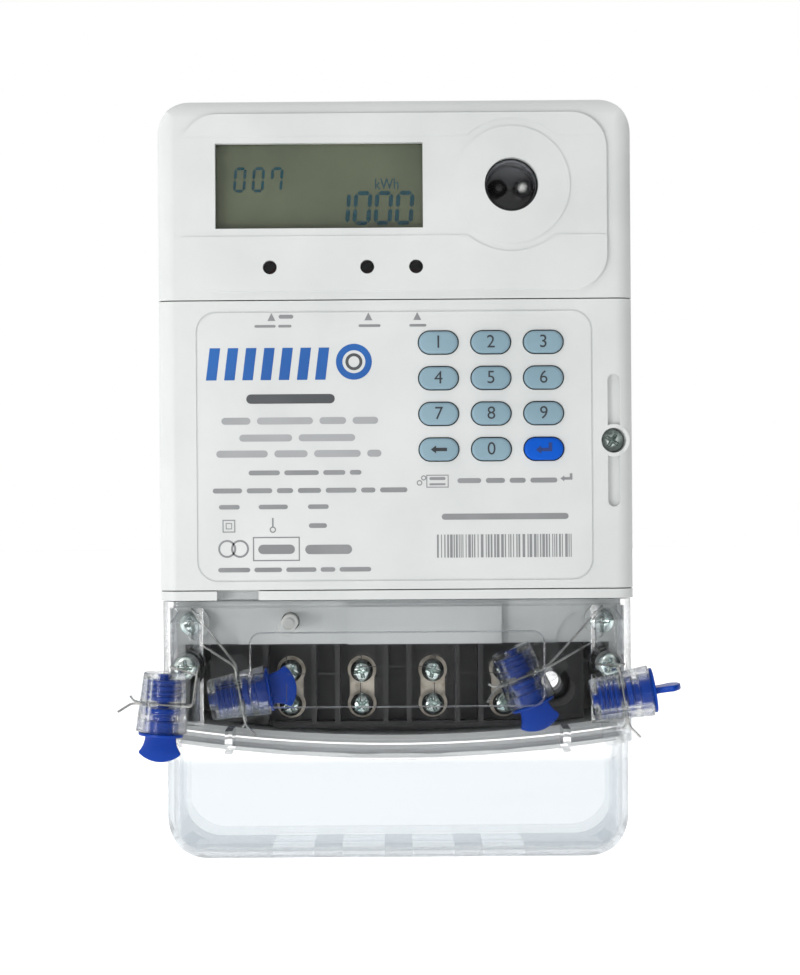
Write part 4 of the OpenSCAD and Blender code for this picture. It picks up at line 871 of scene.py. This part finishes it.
# a plain mark in blue: slanted blocks of equal width beside one ring, with a dark bar below
markSetup = {"count": 7, "left": -50.0, "pitch": 4.8, "width": 2.77, "slant": 1.06, "low": 26.6,
    "high": 35.1, "ringX": -10.9, "ringZ": 31.3, "outerRing": (4.75, 3.03), "innerRing": (2.24, 1.45),
    "barBelow": (-39.4, -16.0, 21.6, 4.6)}
codeSetup = {"left": 10.7, "right": 46.3, "low": -20.6, "high": -14.5, "seed": 5,
    "bars": (0.24, 0.32, 0.47, 0.69), "gaps": (0.24, 0.29, 0.45, 0.61)}

grey = []
for x in pointers["x"]:
    foot = pointers["foot"]
    grey.append(inkPrism([(x - pointers["half"], foot), (x + pointers["half"], foot), (x, pointers["tip"])]))
for row in greyLines + greyBars:
    grey += wordBars(*row)
pale = []
for row in paleLines:
    pale += wordBars(*row)
for half, width in doubleSquare["rims"]:
    x, z = doubleSquare["x"], doubleSquare["z"]
    grey += boxOutline(x - half, x + half, z - half, z + half, width)
grey += [ring(*row) for row in greyRings]
grey.append(bar(*leverStem))
for row in greyFrames:
    grey += boxOutline(*row)
x, z, size = (enterSign[key] * mm for key in ("x", "z", "size"))
grey += arrowParts(x, plateSetup["y"] * mm, z, size, True)

p = markSetup
blueInk = [ring(p["ringX"], p["ringZ"], *p["outerRing"])]
for i in range(p["count"]):
    x = p["left"] + p["pitch"] * i
    blueInk.append(inkPrism([(x, p["low"]), (x + p["width"], p["low"]),
        (x + p["width"] + p["slant"], p["high"]), (x + p["slant"], p["high"])]))
darkInk = [ring(p["ringX"], p["ringZ"], *p["innerRing"])] + wordBars(*p["barBelow"])

# bar code: bars and gaps drawn from four widths each
rng = np.random.default_rng(codeSetup["seed"])
x = codeSetup["left"]
while x < codeSetup["right"]:
    width = rng.choice(codeSetup["bars"])
    grey.append(bar(x, x + width, codeSetup["low"], codeSetup["high"]))
    x += width + rng.choice(codeSetup["gaps"])
for name, parts, ink in (("print_grey", grey, "labelGrey"), ("print_pale", pale, "labelPale"),
        ("print_dark", darkInk, "labelDark"), ("mark_blue", blueInk, "markBlue")):
    addPiece("nameplate_" + name, parts, "door", "housing_front", material=inks[ink])
print("nameplate print made")

# wiring plan on the clear cover: a stub above each terminal, bridges between them and the numbers
planSetup = {"y": -66.4, "terminalX": (-29.4, -9.8, 9.8, 29.4), "numbers": "1346", "stubLow": -58.6,
    "stubHigh": -53.6, "lineHalf": 0.1, "numberZ": -46.6, "numberSize": 2.6, "inkThick": 0.04,
    "bridges": ((-29.4, -14, -51.2), (-9.8, 9.8, -49.4), (14, 29.4, -51.2))}
p = planSetup
half = p["lineHalf"]
plan = [bar(x - half, x + half, p["stubLow"], p["stubHigh"], p["y"]) for x in p["terminalX"]]
plan += [bar(left, right, z - half, z + half, p["y"]) for left, right, z in p["bridges"]]
for digit, x in zip(p["numbers"], p["terminalX"]):
    numberY = (p["y"] - p["inkThick"] / 2) * mm
    plan.append(textParts(digit, p["numberSize"] * mm, x * mm, numberY, p["numberZ"] * mm,
        p["inkThick"] * mm))
addPiece("wiring_plan_print", plan, "terminal_cover", "cover_clear", material=inks["coverBlack"])
print("cover print made")

# the raised field's rim on the clear cover: a fine round bead along four quarter circles about the corners
beadSetup = {"halfX": 39.0, "lowZ": -60.1, "highZ": -40.3, "corner": 3.0, "radius": 0.22, "sink": 0.05}
corner, beadR = beadSetup["corner"], beadSetup["radius"]
right, top, foot = beadSetup["halfX"] - corner, beadSetup["highZ"] - corner, beadSetup["lowZ"] + corner
turn = np.radians(np.linspace(0, 90, 9))
outward, middle = [], []
for quarter, place in enumerate(((right, top), (-right, top), (-right, foot), (right, foot))):
    angle = turn + quarter * np.pi / 2
    outward.append(np.column_stack([np.cos(angle), np.sin(angle)]))
    middle.append(place + corner * outward[-1])
outward, middle = np.concatenate(outward), np.concatenate(middle)
around = np.linspace(0, 2 * np.pi, 12, endpoint=False)
out = middle[:, None] + outward[:, None] * beadR * np.cos(around)[:, None]
beadY = planSetup["y"] + beadSetup["sink"] - beadR * np.sin(around) + 0 * out[..., 0]
grid = np.stack([out[..., 0], beadY, out[..., 1]], -1) * mm
beadClear = clearPlastic("polycarbonateMouldedBead", "#F4F5F8", "#C9CBD2", 0.06, 1.50, 6.0, 0.05, 0.75, 0.98)
addPiece("cover_field_bead", [(grid.reshape(-1, 3), gridFaces(len(middle), 12, True))],
    "terminal_cover", "cover_clear", angle=60, material=beadClear)
print("cover bead made")

# stage, in metres
stageSetup = {"floorDrop": 0.02, "floorHalf": 4.0, "floorGlow": 0.55, "rightSide": 0.05, "rightFrom": 0.22,
    "rightTo": 0.9, "frontSide": 0.50, "frontFrom": -1.0, "frontTo": -0.3}
world = bpy.data.worlds.new("studioWorld")
bpy.context.scene.world = world
world.use_nodes = True
sky = world.node_tree
# the room: white all round, dimmer on the right (x near 1) and towards the front (y near -1)
direction = addNode(sky, "ShaderNodeTexCoord")
axes = addNode(sky, "ShaderNodeSeparateXYZ", links={0: direction.outputs["Generated"]})
rightDip = addNode(sky, "ShaderNodeMapRange", {"interpolation_type": "SMOOTHSTEP"},
    {"From Min": stageSetup["rightFrom"], "From Max": stageSetup["rightTo"], "To Min": 1.0,
        "To Max": stageSetup["rightSide"]},
    {"Value": axes.outputs["X"]})
frontDip = addNode(sky, "ShaderNodeMapRange", {"interpolation_type": "SMOOTHSTEP"},
    {"From Min": stageSetup["frontFrom"], "From Max": stageSetup["frontTo"],
        "To Min": stageSetup["frontSide"], "To Max": 1.0},
    {"Value": axes.outputs["Y"]})
room = addNode(sky, "ShaderNodeMath", {"operation": "MULTIPLY"},
    links={0: rightDip.outputs[0], 1: frontDip.outputs[0]})
backdrop = sky.nodes["Background"]
backdrop.inputs[0].default_value = hexColor("#FFFFFF")
sky.links.new(room.outputs[0], backdrop.inputs[1])

# opal acrylic light table under the meter: white and faintly lit from below
floorMat, floorTree, floorBsdf, floorAt = newMaterial("acrylicOpalLit",
    {"Roughness": 0.7, "Emission Color": hexColor("#FFFFFF"), "Emission Strength": stageSetup["floorGlow"]})
floorNoise = addNode(floorTree, "ShaderNodeTexNoise", values={"Scale": 12.0, "Detail": 3.0},
    links={"Vector": floorAt})
floorTone = addNode(floorTree, "ShaderNodeValToRGB", links={"Fac": floorNoise.outputs["Fac"]})
fillRamp(floorTone, [(0.3, hexColor("#F4F4F4")), (0.7, hexColor("#FAFAFA"))])
floorTree.links.new(floorTone.outputs["Color"], floorBsdf.inputs["Base Color"])
half = stageSetup["floorHalf"]
floorZ = cadLow.z - stageSetup["floorDrop"]
floorMesh = bpy.data.meshes.new("floor")
floorCorners = [(-half, -half, floorZ), (half, -half, floorZ), (half, half, floorZ), (-half, half, floorZ)]
floorMesh.from_pydata(floorCorners, [], [(0, 1, 2, 3)])
floorMesh.materials.append(floorMat)
floor = bpy.data.objects.new("floor", floorMesh)
bpy.context.scene.collection.objects.link(floor)

# area lights: place, point looked at and size in metres, power in watts
lightSetup = {"keyLight": ((-0.75, -0.75, 0.95), (0, 0, 0), (0.6, 0.6), 1.75),
    "tableBounce": ((-0.30, -0.50, -0.07), (0, 0, -0.03), (0.15, 0.08), 0.65)}
for name, (place, aim, size, power) in lightSetup.items():
    data = bpy.data.lights.new(name, "AREA")
    data.shape = "RECTANGLE"
    data.size, data.size_y = size
    data.energy = power
    lamp = bpy.data.objects.new(name, data)
    lamp.location = place
    lamp.rotation_euler = (Vector(aim) - Vector(place)).to_track_quat("-Z", "Y").to_euler()
    bpy.context.scene.collection.objects.link(lamp)
print("stage and lights ready")
